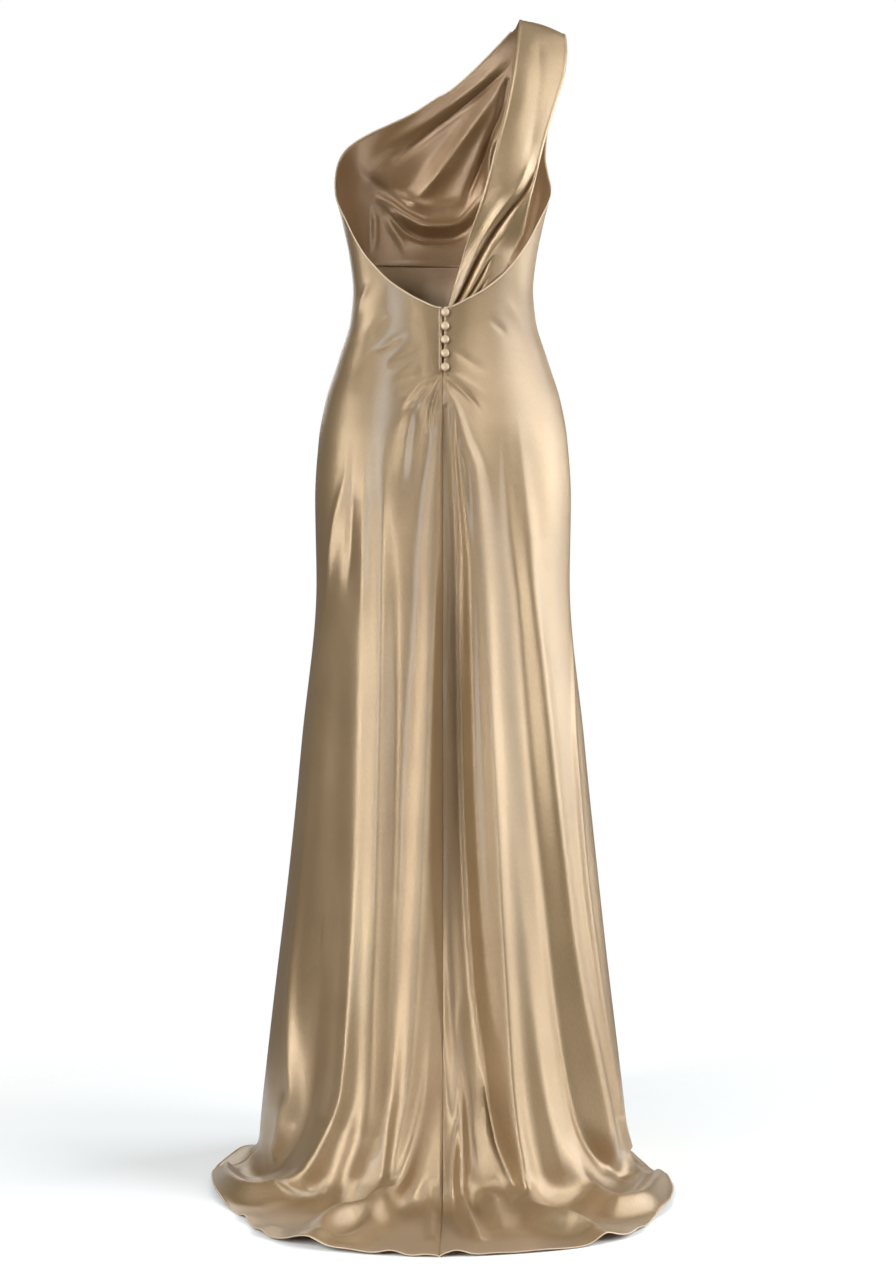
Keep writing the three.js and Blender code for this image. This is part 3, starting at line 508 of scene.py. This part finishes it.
def fold_rise(angle, drop):
    """How far the folds, the gathers and the cloth's unevenness stand out of the plain skirt."""
    around = wrap(angle)
    p, q = girth_at(around) * spread(drop), drop
    widen = GATHERED + (1 - GATHERED) * ease(drop, *SEAT_LEVELS)
    widen = widen * (1 + WIDENED * ease(drop, *LEG_LEVELS))
    total = np.zeros(p.shape)
    for line, left, right, square in back_lines:
        total += crest(p, q, line, left, right, widen, square)
    for line, left, right in gather_lines:
        total += crest(p, q, line, left, right, np.ones(p.shape))
    for (x, down, rise, wide, far), where in zip(HEM_WAVES, wave_angles):
        aside = p - girth_at(where) * spread(down)
        total += rise * bell(aside / wide) * ease(q, down - far, down)
    for heading, width, rise in front_curves:
        total += rise(drop) * bell(wrap(angle - heading(drop)) / width)
    uneven = np.sin(p / 17 + np.sin(q / 130)) * np.sin(q / 97 + p / 41)
    return total + RIPPLE * ease(drop, *RIPPLE_LEVELS) * uneven


def dip(distance, depth, width):
    """Depth of a stitched seam's dip at a distance from the seam."""
    return depth * bell(distance / width)


def seam_sink(angle, drop):
    """The cloth turns in along the centre back and side seams, and rolls out at the slit's edges."""
    p = girth_at(wrap(angle)) * spread(drop)
    sewn = ease(-drop, GATHER_Z + SLIT_END, GATHER_Z - SLIT_END)
    centre = dip(p, *CENTRE_STITCH) + dip(p, *CENTRE_PUCKER)
    roll, middle, width = SLIT_ROLL
    edge = dip(np.abs(p) - middle, roll, width)
    sides = dip(np.abs(p) - SIDE_GIRTH * spread(drop), *SIDE_STITCH)
    return edge * (1 - sewn) - centre * sewn - sides


def skirt_point(angle, drop):
    """A point of the skirt's cloth with its folds, kept above the floor."""
    base = path_point(angle, drop)
    normal = normal_of(path_point, angle, drop, ANGLE_STEP, DROP_STEP)
    rise = fold_rise(angle, drop) + seam_sink(angle, drop)
    point = base + normal * rise[..., None]
    lifted = np.maximum(point[..., 2], WALL)
    point[..., 2] = np.where(drop > -20, lifted, point[..., 2])
    return point


neck_angles = [-LEFT_SIDE, *[float(back_angle(x, z)) for x, z in BACK_NECK[1:-1]], LEFT_SIDE]
back_neck_z = through(neck_angles, [z for _, z in BACK_NECK])


def down_the_path(angle, top, share, stations):
    """Way down the path at a share of the grid's rows, between the edge and the hem."""
    reach = np.maximum(reach_at(wrap(angle)), -FRONT_HEM_Z)
    drops = [-top, *[-z + 0 * angle for z in stations[1]], reach]
    shares = (0, *stations[0], 1)
    drop = np.array(drops[0], float)
    for k in range(len(drops) - 1):
        u = np.clip((share - shares[k]) / (shares[k + 1] - shares[k]), 0, 1)
        drop = drop + (drops[k + 1] - drops[k]) * u
    return drop


# Shares of a panel's rows and the heights that they reach, closer together where folds are finer
BACK_STATIONS = ((0.2, 0.38, 0.72, 0.76), (GATHER_Z, 900, 150, 90))
FRONT_STATIONS = ((0.12, 0.3, 0.74, 0.8), (GATHER_Z, 900, 150, 60))


def back_place(side):
    """Surface of one back panel over its grid: side is 1 for the wearer's left, -1 for the right."""

    def place(u, v):
        girth = SIDE_GIRTH * (0.5 * u + 0.5 * u * u)
        angle = side * np.interp(girth, ring_lengths, ROUND_ANGLES)
        top = back_neck_z(angle) - 0.75 * BINDING_WIDTH
        drop = down_the_path(angle, top, v, BACK_STATIONS)
        point = skirt_point(angle, drop)
        open_slit = ease(point[..., 2], GATHER_Z - 8, GATHER_Z + 8)
        gap = (CLOSED_GAP + (SLIT_WIDTH - CLOSED_GAP) * open_slit) / 2
        point[..., 0] += side * gap * (1 - ease(u, 0, 0.05))
        return point

    return place


def front_skirt_place(u, v):
    angle = LEFT_SIDE + (RIGHT_SIDE - LEFT_SIDE) * u
    drop = down_the_path(angle, WAIST_SEAM_Z + 0 * angle, v, FRONT_STATIONS)
    point = skirt_point(angle, drop)
    sunk = dip(point[..., 2] - WAIST_SEAM_Z, *WAIST_STITCH)
    return point - normal_of(path_point, angle, drop, ANGLE_STEP, DROP_STEP) * sunk[..., None]


# Draped front: shares of its edges at which the armhole and the left side seam end
ARM_SHARE = 11 / 15
SIDE_SHARE = 4 / 24
SIDE_DROP = UNDERARM_Z - WAIST_SEAM_Z
neck_angle, neck_z = (by_place(column) for column in zip(*NECKLINE))
arm_angle, arm_z = (by_place(column) for column in zip(*ARMHOLE))
drape_lines = [
    ([np.asarray(c) for c in smooth_line(points)], left, right)
    for _, left, right, points in DRAPE_FOLDS
]


def pair(angle, z):
    return np.stack(np.broadcast_arrays(angle, z), -1).astype(float)


def neck_edge(v):
    return pair(neck_angle(v), neck_z(v))


def arm_edge(v):
    down = UNDERARM_Z - (SIDE_DROP + SEAM_ALLOWANCE) * (v - ARM_SHARE) / (1 - ARM_SHARE)
    on_arm = v <= ARM_SHARE
    k = np.clip(v / ARM_SHARE, 0, 1)
    return pair(np.where(on_arm, arm_angle(k), RIGHT_SIDE), np.where(on_arm, arm_z(k), down))


def far_edge(u):
    on_side = u <= SIDE_SHARE
    side_z = UNDERARM_Z - SIDE_DROP * u / SIDE_SHARE
    angle = LEFT_SIDE + (RIGHT_SIDE - LEFT_SIDE) * (u - SIDE_SHARE) / (1 - SIDE_SHARE)
    low = WAIST_SEAM_Z - SEAM_ALLOWANCE * ease(u, SIDE_SHARE, SIDE_SHARE + 0.02)
    return pair(np.where(on_side, LEFT_SIDE, angle), np.where(on_side, side_z, low))


def shoulder_place(u):
    u = u[..., None]
    return neck_edge(0) * (1 - u) + arm_edge(np.zeros(1))[0] * u


def front_point(angle, z):
    """A point of the draped front with its folds, which look inwards."""
    base = section_point(angle, z)
    normal = -normal_of(section_point, angle, z, ANGLE_STEP, DROP_STEP)
    top, calm_from, calm_to = CALM
    calm = ease(z, WAIST_SEAM_Z, top) * (1 - ease(np.abs(wrap(angle - 180)), calm_from, calm_to))
    ones = np.ones(base.shape[:-1])
    rise = sum(crest(base[..., 0], base[..., 2], line, left, right, ones)
               for line, left, right in drape_lines)
    uneven = np.sin(base[..., 0] / 13 + base[..., 2] / 31) * np.sin(base[..., 2] / 19)
    tucked = ALLOWANCE_TUCK * ease(WAIST_SEAM_Z - z, 0, 2)
    sunk = dip(z - WAIST_SEAM_Z, *WAIST_STITCH) + tucked
    return base + normal * (calm * (rise + RIPPLE * uneven) - sunk)[..., None]


def fan_place(u, v):
    """Angle and height on the draped front, between its four edges."""
    a, b = u[..., None], v[..., None]
    zero, one = np.zeros(1), np.ones(1)
    corners = neck_edge(zero)[0] * (1 - a) * (1 - b) + arm_edge(zero)[0] * a * (1 - b)
    corners = corners + far_edge(zero)[0] * (1 - a) * b + far_edge(one)[0] * a * b
    ruled = neck_edge(v) * (1 - a) + arm_edge(v) * a
    return ruled + shoulder_place(u) * (1 - b) + far_edge(u) * b - corners


def drape_place(u, v):
    place = fan_place(u, v)
    return front_point(place[..., 0], place[..., 1])


# Strap
strap_columns = [by_place(column) for column in zip(*STRAP)]


def strap_point(u, v):
    """A point of the flat strap: u from its inner to its outer edge, v down from the shoulder."""
    inner = stack(*[curve(v) for curve in strap_columns[:3]])
    outer = stack(*[curve(v) for curve in strap_columns[3:]])
    place = shoulder_place(u)
    start = front_point(place[..., 0], place[..., 1]) + np.array([0, SEAM_GAP, SEAM_GAP])
    share = ease(v, 0, 0.1)[..., None]
    return start * (1 - share) + (inner * (1 - u[..., None]) + outer * u[..., None]) * share


def pleat_depth(u, v):
    """How deep the strap's pleats lie at a point of it."""
    total = np.zeros(u.shape)
    for width, depth, points in PLEATS:
        along, across = zip(*points)
        shown = ease(v, along[0], along[0] + 0.08)
        if along[-1] < 1:
            shown = shown * (1 - ease(v, along[-1] - 0.1, along[-1]))
        total += depth * shown * np.exp(-np.abs((u - through(along, across)(v)) / width) ** 1.6)
    return total


def strap_place(u, v):
    point = strap_point(u, v)
    outward = -normal_of(strap_point, u, v, 0.02, 0.01)
    arched = ease(v, 0, 0.2) * (1 - ease(v, 0.7, 0.9))
    arch = STRAP_ARCH * np.sin(math.pi * np.clip(u, 0, 1)) * arched
    edges = bell((u - 0.035) / 0.025) + bell((u - 0.965) / 0.025)
    rolled = STRAP_ROLL * edges * ease(v, 0.04, 0.1)
    sunk = pleat_depth(u, v)
    point = point + outward * (arch + rolled - sunk)[..., None]
    panel = section_point(back_angle(point[..., 0], point[..., 2]), point[..., 2])[..., 1]
    inside = panel - WALL - STRAP_CLEARANCE - sunk
    share = ease(v, 0.6, 0.76)
    point[..., 1] = point[..., 1] * (1 - share) + inside * share
    return point


# Materials
def tone(red, green, blue):
    """Linear colour from the 0 to 255 values of a swatch."""
    linear = [(c / 255 / 12.92 if c <= 10 else ((c / 255 + 0.055) / 1.055) ** 2.4)
              for c in (red, green, blue)]
    return (*linear, 1.0)


def new_material(name):
    material = bpy.data.materials.new(name)
    material.use_nodes = True
    material.node_tree.nodes.clear()
    return material, material.node_tree


def add_node(tree, kind, inputs=(), **settings):
    """A node with its settings and the values of its inputs."""
    node = tree.nodes.new(kind)
    for name, value in settings.items():
        setattr(node, name, value)
    for name, value in dict(inputs).items():
        node.inputs[name].default_value = value
    return node


def join(tree, *links):
    """Links each node's output to the input of another: node, output, node, input."""
    for start, output, end, entry in links:
        tree.links.new(start.outputs[output], end.inputs[entry])


def satin(name, light, deep, roughness, metallic, weave_strength, coat=0.0):
    """Satin: a fine slanting weave with long floats, a slub here and there, and a soft gloss."""
    material, tree = new_material(name)
    slanting = (0, 0, math.radians(45))
    shader = add_node(tree, "ShaderNodeBsdfPrincipled", {
        "Metallic": metallic, "IOR": 1.7, "Specular IOR Level": 1.0, "Sheen Weight": 0.12,
        "Sheen Roughness": 0.4, "Coat Weight": coat, "Coat Roughness": 0.27})
    output = add_node(tree, "ShaderNodeOutputMaterial")
    cloth = add_node(tree, "ShaderNodeUVMap", uv_map="cloth")
    slant = add_node(tree, "ShaderNodeMapping", {"Rotation": slanting})
    floats = add_node(
        tree, "ShaderNodeTexWave", {"Scale": 420, "Distortion": 1.6, "Detail": 2, "Detail Scale": 2.5},
        wave_type="BANDS", bands_direction="X")
    stretch = add_node(tree, "ShaderNodeMapping", {"Rotation": slanting, "Scale": (700, 160, 1)})
    slub = add_node(tree, "ShaderNodeTexNoise", {"Scale": 1, "Detail": 3})
    place = add_node(tree, "ShaderNodeTexCoord")
    cloud = add_node(tree, "ShaderNodeTexNoise", {"Scale": 7, "Detail": 3})
    level = add_node(tree, "ShaderNodeMath", {1: 0.45}, operation="SUBTRACT")
    shade = add_node(tree, "ShaderNodeMath", {1: 0.9}, operation="MULTIPLY_ADD")
    colour = add_node(tree, "ShaderNodeMix", {"A": deep, "B": light}, data_type="RGBA")
    gloss = add_node(tree, "ShaderNodeMapRange", {
        "To Min": roughness - 0.05, "To Max": roughness + 0.05})
    threads = add_node(tree, "ShaderNodeMath", operation="ADD")
    bump = add_node(tree, "ShaderNodeBump", {"Strength": weave_strength, "Distance": 0.00015})
    join(tree,
         (shader, "BSDF", output, "Surface"),
         (cloth, "UV", slant, "Vector"), (slant, "Vector", floats, "Vector"),
         (cloth, "UV", stretch, "Vector"), (stretch, "Vector", slub, "Vector"),
         (place, "Object", cloud, "Vector"), (cloud, "Fac", level, 0),
         (slub, "Fac", shade, 0), (level, "Value", shade, 2),
         (shade, "Value", colour, "Factor"), (colour, "Result", shader, "Base Color"),
         (slub, "Fac", gloss, "Value"), (gloss, "Result", shader, "Roughness"),
         (floats, "Fac", threads, 0), (slub, "Fac", threads, 1),
         (threads, "Value", bump, "Height"), (bump, "Normal", shader, "Normal"))
    return material


satin_face = satin("champagne_satin", tone(181, 151, 111), tone(141, 110, 72), 0.31, 0.5, 0.6, 0.35)
# Inner face: the satin's duller reverse side, whose gloss is real. Its colour is painted darker than the
# face's, as painted shade for the inside of the dress.
satin_reverse_painted_shade = satin("satin_reverse_painted_shade", tone(162, 125, 80), tone(124, 90, 54), 0.38, 0.42, 0.6)
satin_binding = satin("satin_binding", tone(202, 178, 146), tone(180, 153, 119), 0.42, 0.3, 0.4)
satin_button = satin("covered_button_satin", tone(206, 180, 146), tone(178, 150, 114), 0.5, 0.2, 0.4)


# Pieces
def to_frame(points):
    return (points - SHOULDER_HOLD) / 1000


def finish_mesh(shape, name, materials, uv=None):
    """Makes a smooth piece of a shape, with the weave's place at each point when that is given."""
    mesh = bpy.data.meshes.new(name)
    shape.to_mesh(mesh)
    shape.free()
    for material in materials:
        mesh.materials.append(material)
    if uv is not None:
        layer = mesh.uv_layers.new(name="cloth")
        corners = np.empty(len(mesh.loops), int)
        mesh.loops.foreach_get("vertex_index", corners)
        layer.data.foreach_set("uv", uv[corners].ravel())
    mesh.shade_smooth()
    piece = bpy.data.objects.new(name, mesh)
    bpy.context.scene.collection.objects.link(piece)
    return piece


def grid_shares(shape):
    """Where each point of a new grid lies, as shares of its width and length."""
    return np.array([(v.co.x + 0.5, v.co.y + 0.5) for v in shape.verts])


def face_outwards(shape, axis):
    """Turns the sheet's faces away from an axis point, in the frame's metres."""
    looks = sum((face.normal.dot(face.calc_center_median() - axis) * face.calc_area())
                for face in shape.faces)
    if looks < 0:
        bmesh.ops.reverse_faces(shape, faces=shape.faces)


def down_the_cloth(shares, points):
    """Way down the sheet at each point, in metres: the mean distance from row to row."""
    rows = np.unique(np.round(shares[:, 1], 6))
    row = np.rint(shares[:, 1] * (len(rows) - 1)).astype(int)
    net = points[np.lexsort((shares[:, 0], row))].reshape(len(rows), -1, 3)
    gaps = np.linalg.norm(np.diff(net, axis=0), axis=2).mean(axis=1)
    return np.concatenate([[0], np.cumsum(gaps)])[row]


def cloth_sheet(name, place, across, along, width, thickness=CLOTH):
    """A shell on a surface: across and along are cells, and width is the cloth's own in metres."""
    shape = bmesh.new()
    bmesh.ops.create_grid(shape, x_segments=across, y_segments=along, size=0.5)
    shares = grid_shares(shape)
    points = to_frame(place(shares[:, 0], 1 - shares[:, 1]))
    for vertex, point in zip(shape.verts, points):
        vertex.co = point
    shape.normal_update()
    face_outwards(shape, sheet_axis(points.mean(axis=0)))
    uv = np.stack([shares[:, 0] * width, down_the_cloth(shares, points)], -1)
    piece = finish_mesh(shape, name, (satin_face, satin_reverse_painted_shade), uv)
    wall = piece.modifiers.new("wall", "SOLIDIFY")
    wall.thickness = thickness / 1000
    wall.offset = -1
    # The wall's inner face takes the second material, the reverse with its painted shade.
    wall.material_offset = 1
    return piece


def sheet_axis(middle):
    """A point on the body's axis at the height of a sheet's middle."""
    return Vector((-SHOULDER_HOLD[0] / 1000, -SHOULDER_HOLD[1] / 1000, middle[2]))


def edge_frame(place, u, v, du, dv):
    """Points of a sheet's edge, directions out of the sheet in its surface, and its normals."""
    edge = place(u, v)
    inside = place(u + du, v + dv)
    along = np.gradient(edge, axis=0)
    along /= np.linalg.norm(along, axis=1, keepdims=True)
    away = edge - inside
    away -= along * np.sum(away * along, axis=1, keepdims=True)
    away /= np.maximum(np.linalg.norm(away, axis=1, keepdims=True), 1e-9)
    normal = np.cross(along, away)
    return edge, away, normal


def piping(name, edge_line, section, sides=10):
    """A soft tube along an edge: its section has a width, a thickness and how far it stands out."""
    path, away, normal = edge_line
    width, thickness, shift = section
    count = len(path)
    shape = bmesh.new()
    bmesh.ops.create_grid(shape, x_segments=sides, y_segments=count - 1, size=0.5)
    shares = grid_shares(shape)
    row = np.rint(shares[:, 1] * (count - 1)).astype(int)
    turn = shares[:, 0] * 2 * math.pi
    centre = path[row] + away[row] * shift
    points = centre + away[row] * (np.cos(turn) * width / 2)[:, None]
    points = to_frame(points + normal[row] * (np.sin(turn) * thickness / 2)[:, None])
    for vertex, point in zip(shape.verts, points):
        vertex.co = point
    uv = shares * np.array([2 * (width + thickness) / 1000, PIPING_LENGTH])
    keep = shape.verts.layers.float_vector.new("cloth_place")
    for vertex, pair_uv in zip(shape.verts, uv):
        vertex[keep] = (*pair_uv, 0)
    bmesh.ops.remove_doubles(shape, verts=shape.verts, dist=1e-6)
    bmesh.ops.holes_fill(shape, edges=shape.edges, sides=sides + 2)
    bmesh.ops.recalc_face_normals(shape, faces=shape.faces)
    uv = np.array([vertex[keep][:2] for vertex in shape.verts])
    return finish_mesh(shape, name, (satin_binding,), uv)


def panel_hem(name, place, count):
    """The rolled edge along a panel's foot."""
    u = np.linspace(0, 1, count)
    edge, away, normal = edge_frame(place, u, np.ones(count), 0, -EDGE_STEP)
    edge[:, 2] = np.maximum(edge[:, 2], HEM_LIFT)
    return piping(name, (edge, away, normal), HEM_SECTION)


def button(index):
    """A covered button: shank, rim and dome turned round its axis, with a slightly pinched edge."""
    z = BUTTONS["top"] - index * BUTTONS["pitch"]
    angle = back_angle(np.array([BUTTONS["x"]]), z)
    drop = np.array([-z])
    centre = skirt_point(angle, drop)[0]
    normal = normal_of(path_point, angle, drop, ANGLE_STEP, DROP_STEP)[0]
    radius, dome = BUTTONS["radius"], BUTTONS["dome"]
    underside = [(0.9, 0.1), (1.1, 1.2), (radius - 1.3, 1.3), (radius - 0.3, 1.8)]
    profile = [*underside, (radius, BUTTON_RIM)]
    for turn in (22, 42, 60, 76):
        cosine, sine = math.cos(math.radians(turn)), math.sin(math.radians(turn))
        profile.append((radius * cosine, BUTTON_RIM + (dome - BUTTON_RIM) * sine))
    profile.append((0.0, dome - 0.15))
    shape = bmesh.new()
    rim = [shape.verts.new((a, 0, b)) for a, b in profile]
    sides = [shape.edges.new(ends) for ends in zip(rim, rim[1:])]
    bmesh.ops.spin(shape, geom=rim + sides, axis=(0, 0, 1), cent=(0, 0, 0), dvec=(0, 0, 0),
                   angle=2 * math.pi, steps=28, use_merge=True)
    bmesh.ops.remove_doubles(shape, verts=shape.verts, dist=1e-4)
    bmesh.ops.holes_fill(shape, edges=shape.edges, sides=30)
    bmesh.ops.recalc_face_normals(shape, faces=shape.faces)
    across = np.cross(np.array([0, 0, 1.0]), normal)
    across /= np.linalg.norm(across)
    up = np.cross(normal, across)
    uv = []
    for vertex in shape.verts:
        a, b, c = vertex.co
        pinch = 1 + 0.012 * math.sin(9 * math.atan2(b, a)) * ease(np.hypot(a, b), 3.5, 5.7)
        uv.append((a / 1000, b / 1000))
        vertex.co = to_frame(centre + across * a * pinch + up * b * pinch + normal * (c + 0.2))
    piece = finish_mesh(shape, f"covered_button_{index + 1}", (satin_button,), np.array(uv))
    soften = piece.modifiers.new("soften", "SUBSURF")
    soften.levels = soften.render_levels = 2
    return piece


back_left_place, back_right_place = back_place(1), back_place(-1)
back_left = cloth_sheet("back_left_panel", back_left_place, 150, 300, 0.62)
back_right = cloth_sheet("back_right_panel", back_right_place, 150, 300, 0.62)
skirt_front = cloth_sheet("skirt_front_panel", front_skirt_place, 140, 240, 0.78)
bodice = cloth_sheet("draped_front", drape_place, 144, 150, 0.45)
strap = cloth_sheet("shoulder_strap", strap_place, 90, 200, 0.11, STRAP_CLOTH)

hems = [
    panel_hem("hem_back_left", back_left_place, 260),
    panel_hem("hem_back_right", back_right_place, 260),
    panel_hem("hem_front", front_skirt_place, 200),
]


def neckline_binding(name, place, count=160):
    """Binding along a back panel's upper edge."""
    u = np.linspace(0, 1, count)
    return piping(name, edge_frame(place, u, np.zeros(count), 0, EDGE_STEP), BINDING_SECTION)


def drape_binding(name, side, end, count):
    """Binding along the draped front's neckline (side 0) or armhole (side 1), down to a share."""
    v = np.linspace(0.02, end, count)
    inwards = EDGE_STEP * (1 - 2 * side)
    return piping(name, edge_frame(drape_place, 0 * v + side, v, inwards, 0), BINDING_SECTION)


neck_back_left = neckline_binding("neck_binding_left", back_left_place)
neck_back_right = neckline_binding("neck_binding_right", back_right_place)
neck_front = drape_binding("neck_binding_front", 0, 1, 200)
armhole = drape_binding("armhole_binding", 1, ARM_SHARE, 160)
buttons = [button(index) for index in range(BUTTONS["count"])]

STANDS_FOR = {
    back_left: "back_left", back_right: "back_right", skirt_front: "skirt_front",
    bodice: "bodice_front", strap: "strap", neck_back_left: "binding_back_left",
    neck_back_right: "binding_back_right", neck_front: "binding_neck_front",
    armhole: "binding_armhole",
}
for piece, node in STANDS_FOR.items():
    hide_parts(node)
for index, piece in enumerate(buttons):
    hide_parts(f"button_{index + 1}")
for piece in (*STANDS_FOR, *hems, *buttons):
    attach(piece, "root")

# Floor, light and camera, in metres and degrees
FLOOR_Z = -SHOULDER_HOLD[2] / 1000
CENTRE_X = -SHOULDER_HOLD[0] / 1000
FLOOR_FADE = (0.45, 1.1)
LIGHT_AIM = (CENTRE_X, 0.1, -0.6)
LIGHT_COLOUR = (0.93, 0.98, 1)
FOCAL_LENGTH = 88.96
CAMERA_PLACE = (CENTRE_X - 0.0066, 4.199, FLOOR_Z + 0.95)
CAMERA_DIP = 3.3


def studio_floor():
    shape = bmesh.new()
    bmesh.ops.create_circle(shape, cap_ends=True, segments=96, radius=6)
    for vertex in shape.verts:
        vertex.co.x += CENTRE_X
        vertex.co.z = FLOOR_Z
    material, tree = new_material("pale_floor")
    near, far = FLOOR_FADE
    shader = add_node(tree, "ShaderNodeBsdfDiffuse", {"Color": (0.97, 0.97, 0.97, 1)})
    clear = add_node(tree, "ShaderNodeBsdfTransparent")
    place = add_node(tree, "ShaderNodeTexCoord")
    middle = add_node(tree, "ShaderNodeMapping", {"Location": (-CENTRE_X, 0, -FLOOR_Z)})
    away = add_node(tree, "ShaderNodeVectorMath", operation="LENGTH")
    fade = add_node(tree, "ShaderNodeMapRange", {"From Min": near, "From Max": far},
                    interpolation_type="SMOOTHSTEP")
    mix = add_node(tree, "ShaderNodeMixShader")
    output = add_node(tree, "ShaderNodeOutputMaterial")
    join(tree,
         (place, "Object", middle, "Vector"), (middle, "Vector", away, 0),
         (away, "Value", fade, "Value"), (fade, "Result", mix, "Fac"),
         (shader, "BSDF", mix, 1), (clear, "BSDF", mix, 2), (mix, "Shader", output, "Surface"))
    floor = finish_mesh(shape, "studio_floor", (material,))


def soft_light(name, place, aim, width, height, power):
    """A softbox that looks at its aim."""
    lamp = bpy.data.lights.new(name, "AREA")
    lamp.shape = "RECTANGLE"
    lamp.size, lamp.size_y = width, height
    lamp.energy = power
    lamp.color = LIGHT_COLOUR
    holder = bpy.data.objects.new(name, lamp)
    holder.location = place
    holder.rotation_euler = (Vector(aim) - Vector(place)).to_track_quat("-Z", "Y").to_euler()
    bpy.context.scene.collection.objects.link(holder)


def studio_light():
    world = bpy.data.worlds.new("studio")
    bpy.context.scene.world = world
    world.use_nodes = True
    tree = world.node_tree
    tree.nodes.clear()
    seen = add_node(tree, "ShaderNodeLightPath")
    white = add_node(tree, "ShaderNodeBackground", {"Color": (1, 1, 1, 1)})
    soft = add_node(tree, "ShaderNodeBackground", {"Color": (1, 0.92, 0.82, 1), "Strength": 0.08})
    mix = add_node(tree, "ShaderNodeMixShader")
    output = add_node(tree, "ShaderNodeOutputWorld")
    join(tree,
         (seen, "Is Camera Ray", mix, "Fac"), (soft, "Background", mix, 1),
         (white, "Background", mix, 2), (mix, "Shader", output, "Surface"))
    soft_light("left_softbox", (CENTRE_X + 2.1, 2.5, 0.4), LIGHT_AIM, 0.8, 2.6, 132)
    soft_light("right_softbox", (CENTRE_X - 2.8, 1.5, 0.4), LIGHT_AIM, 1.8, 2.6, 100)
    soft_light("right_side_softbox", (CENTRE_X - 3.1, -0.9, 0.2), LIGHT_AIM, 2.2, 2.6, 96)
    soft_light("top_softbox", (CENTRE_X, 0.6, 2.4), (CENTRE_X, 0.2, -1.2), 3.0, 2.2, 16)
    soft_light("front_softbox", (CENTRE_X + 0.4, -3.2, 0.8), LIGHT_AIM, 2.6, 2.4, 45)
    scene = bpy.context.scene
    scene.view_settings.view_transform = "Standard"
    scene.view_settings.look = "None"


def camera():
    lens = bpy.data.cameras.new("camera")
    lens.lens = FOCAL_LENGTH
    lens.sensor_width = 36
    lens.clip_end = 100
    holder = bpy.data.objects.new("camera", lens)
    holder.location = CAMERA_PLACE
    holder.rotation_euler = (math.radians(90 - CAMERA_DIP), 0, math.radians(180))
    bpy.context.scene.collection.objects.link(holder)
    bpy.context.scene.camera = holder


studio_floor()
studio_light()
camera()
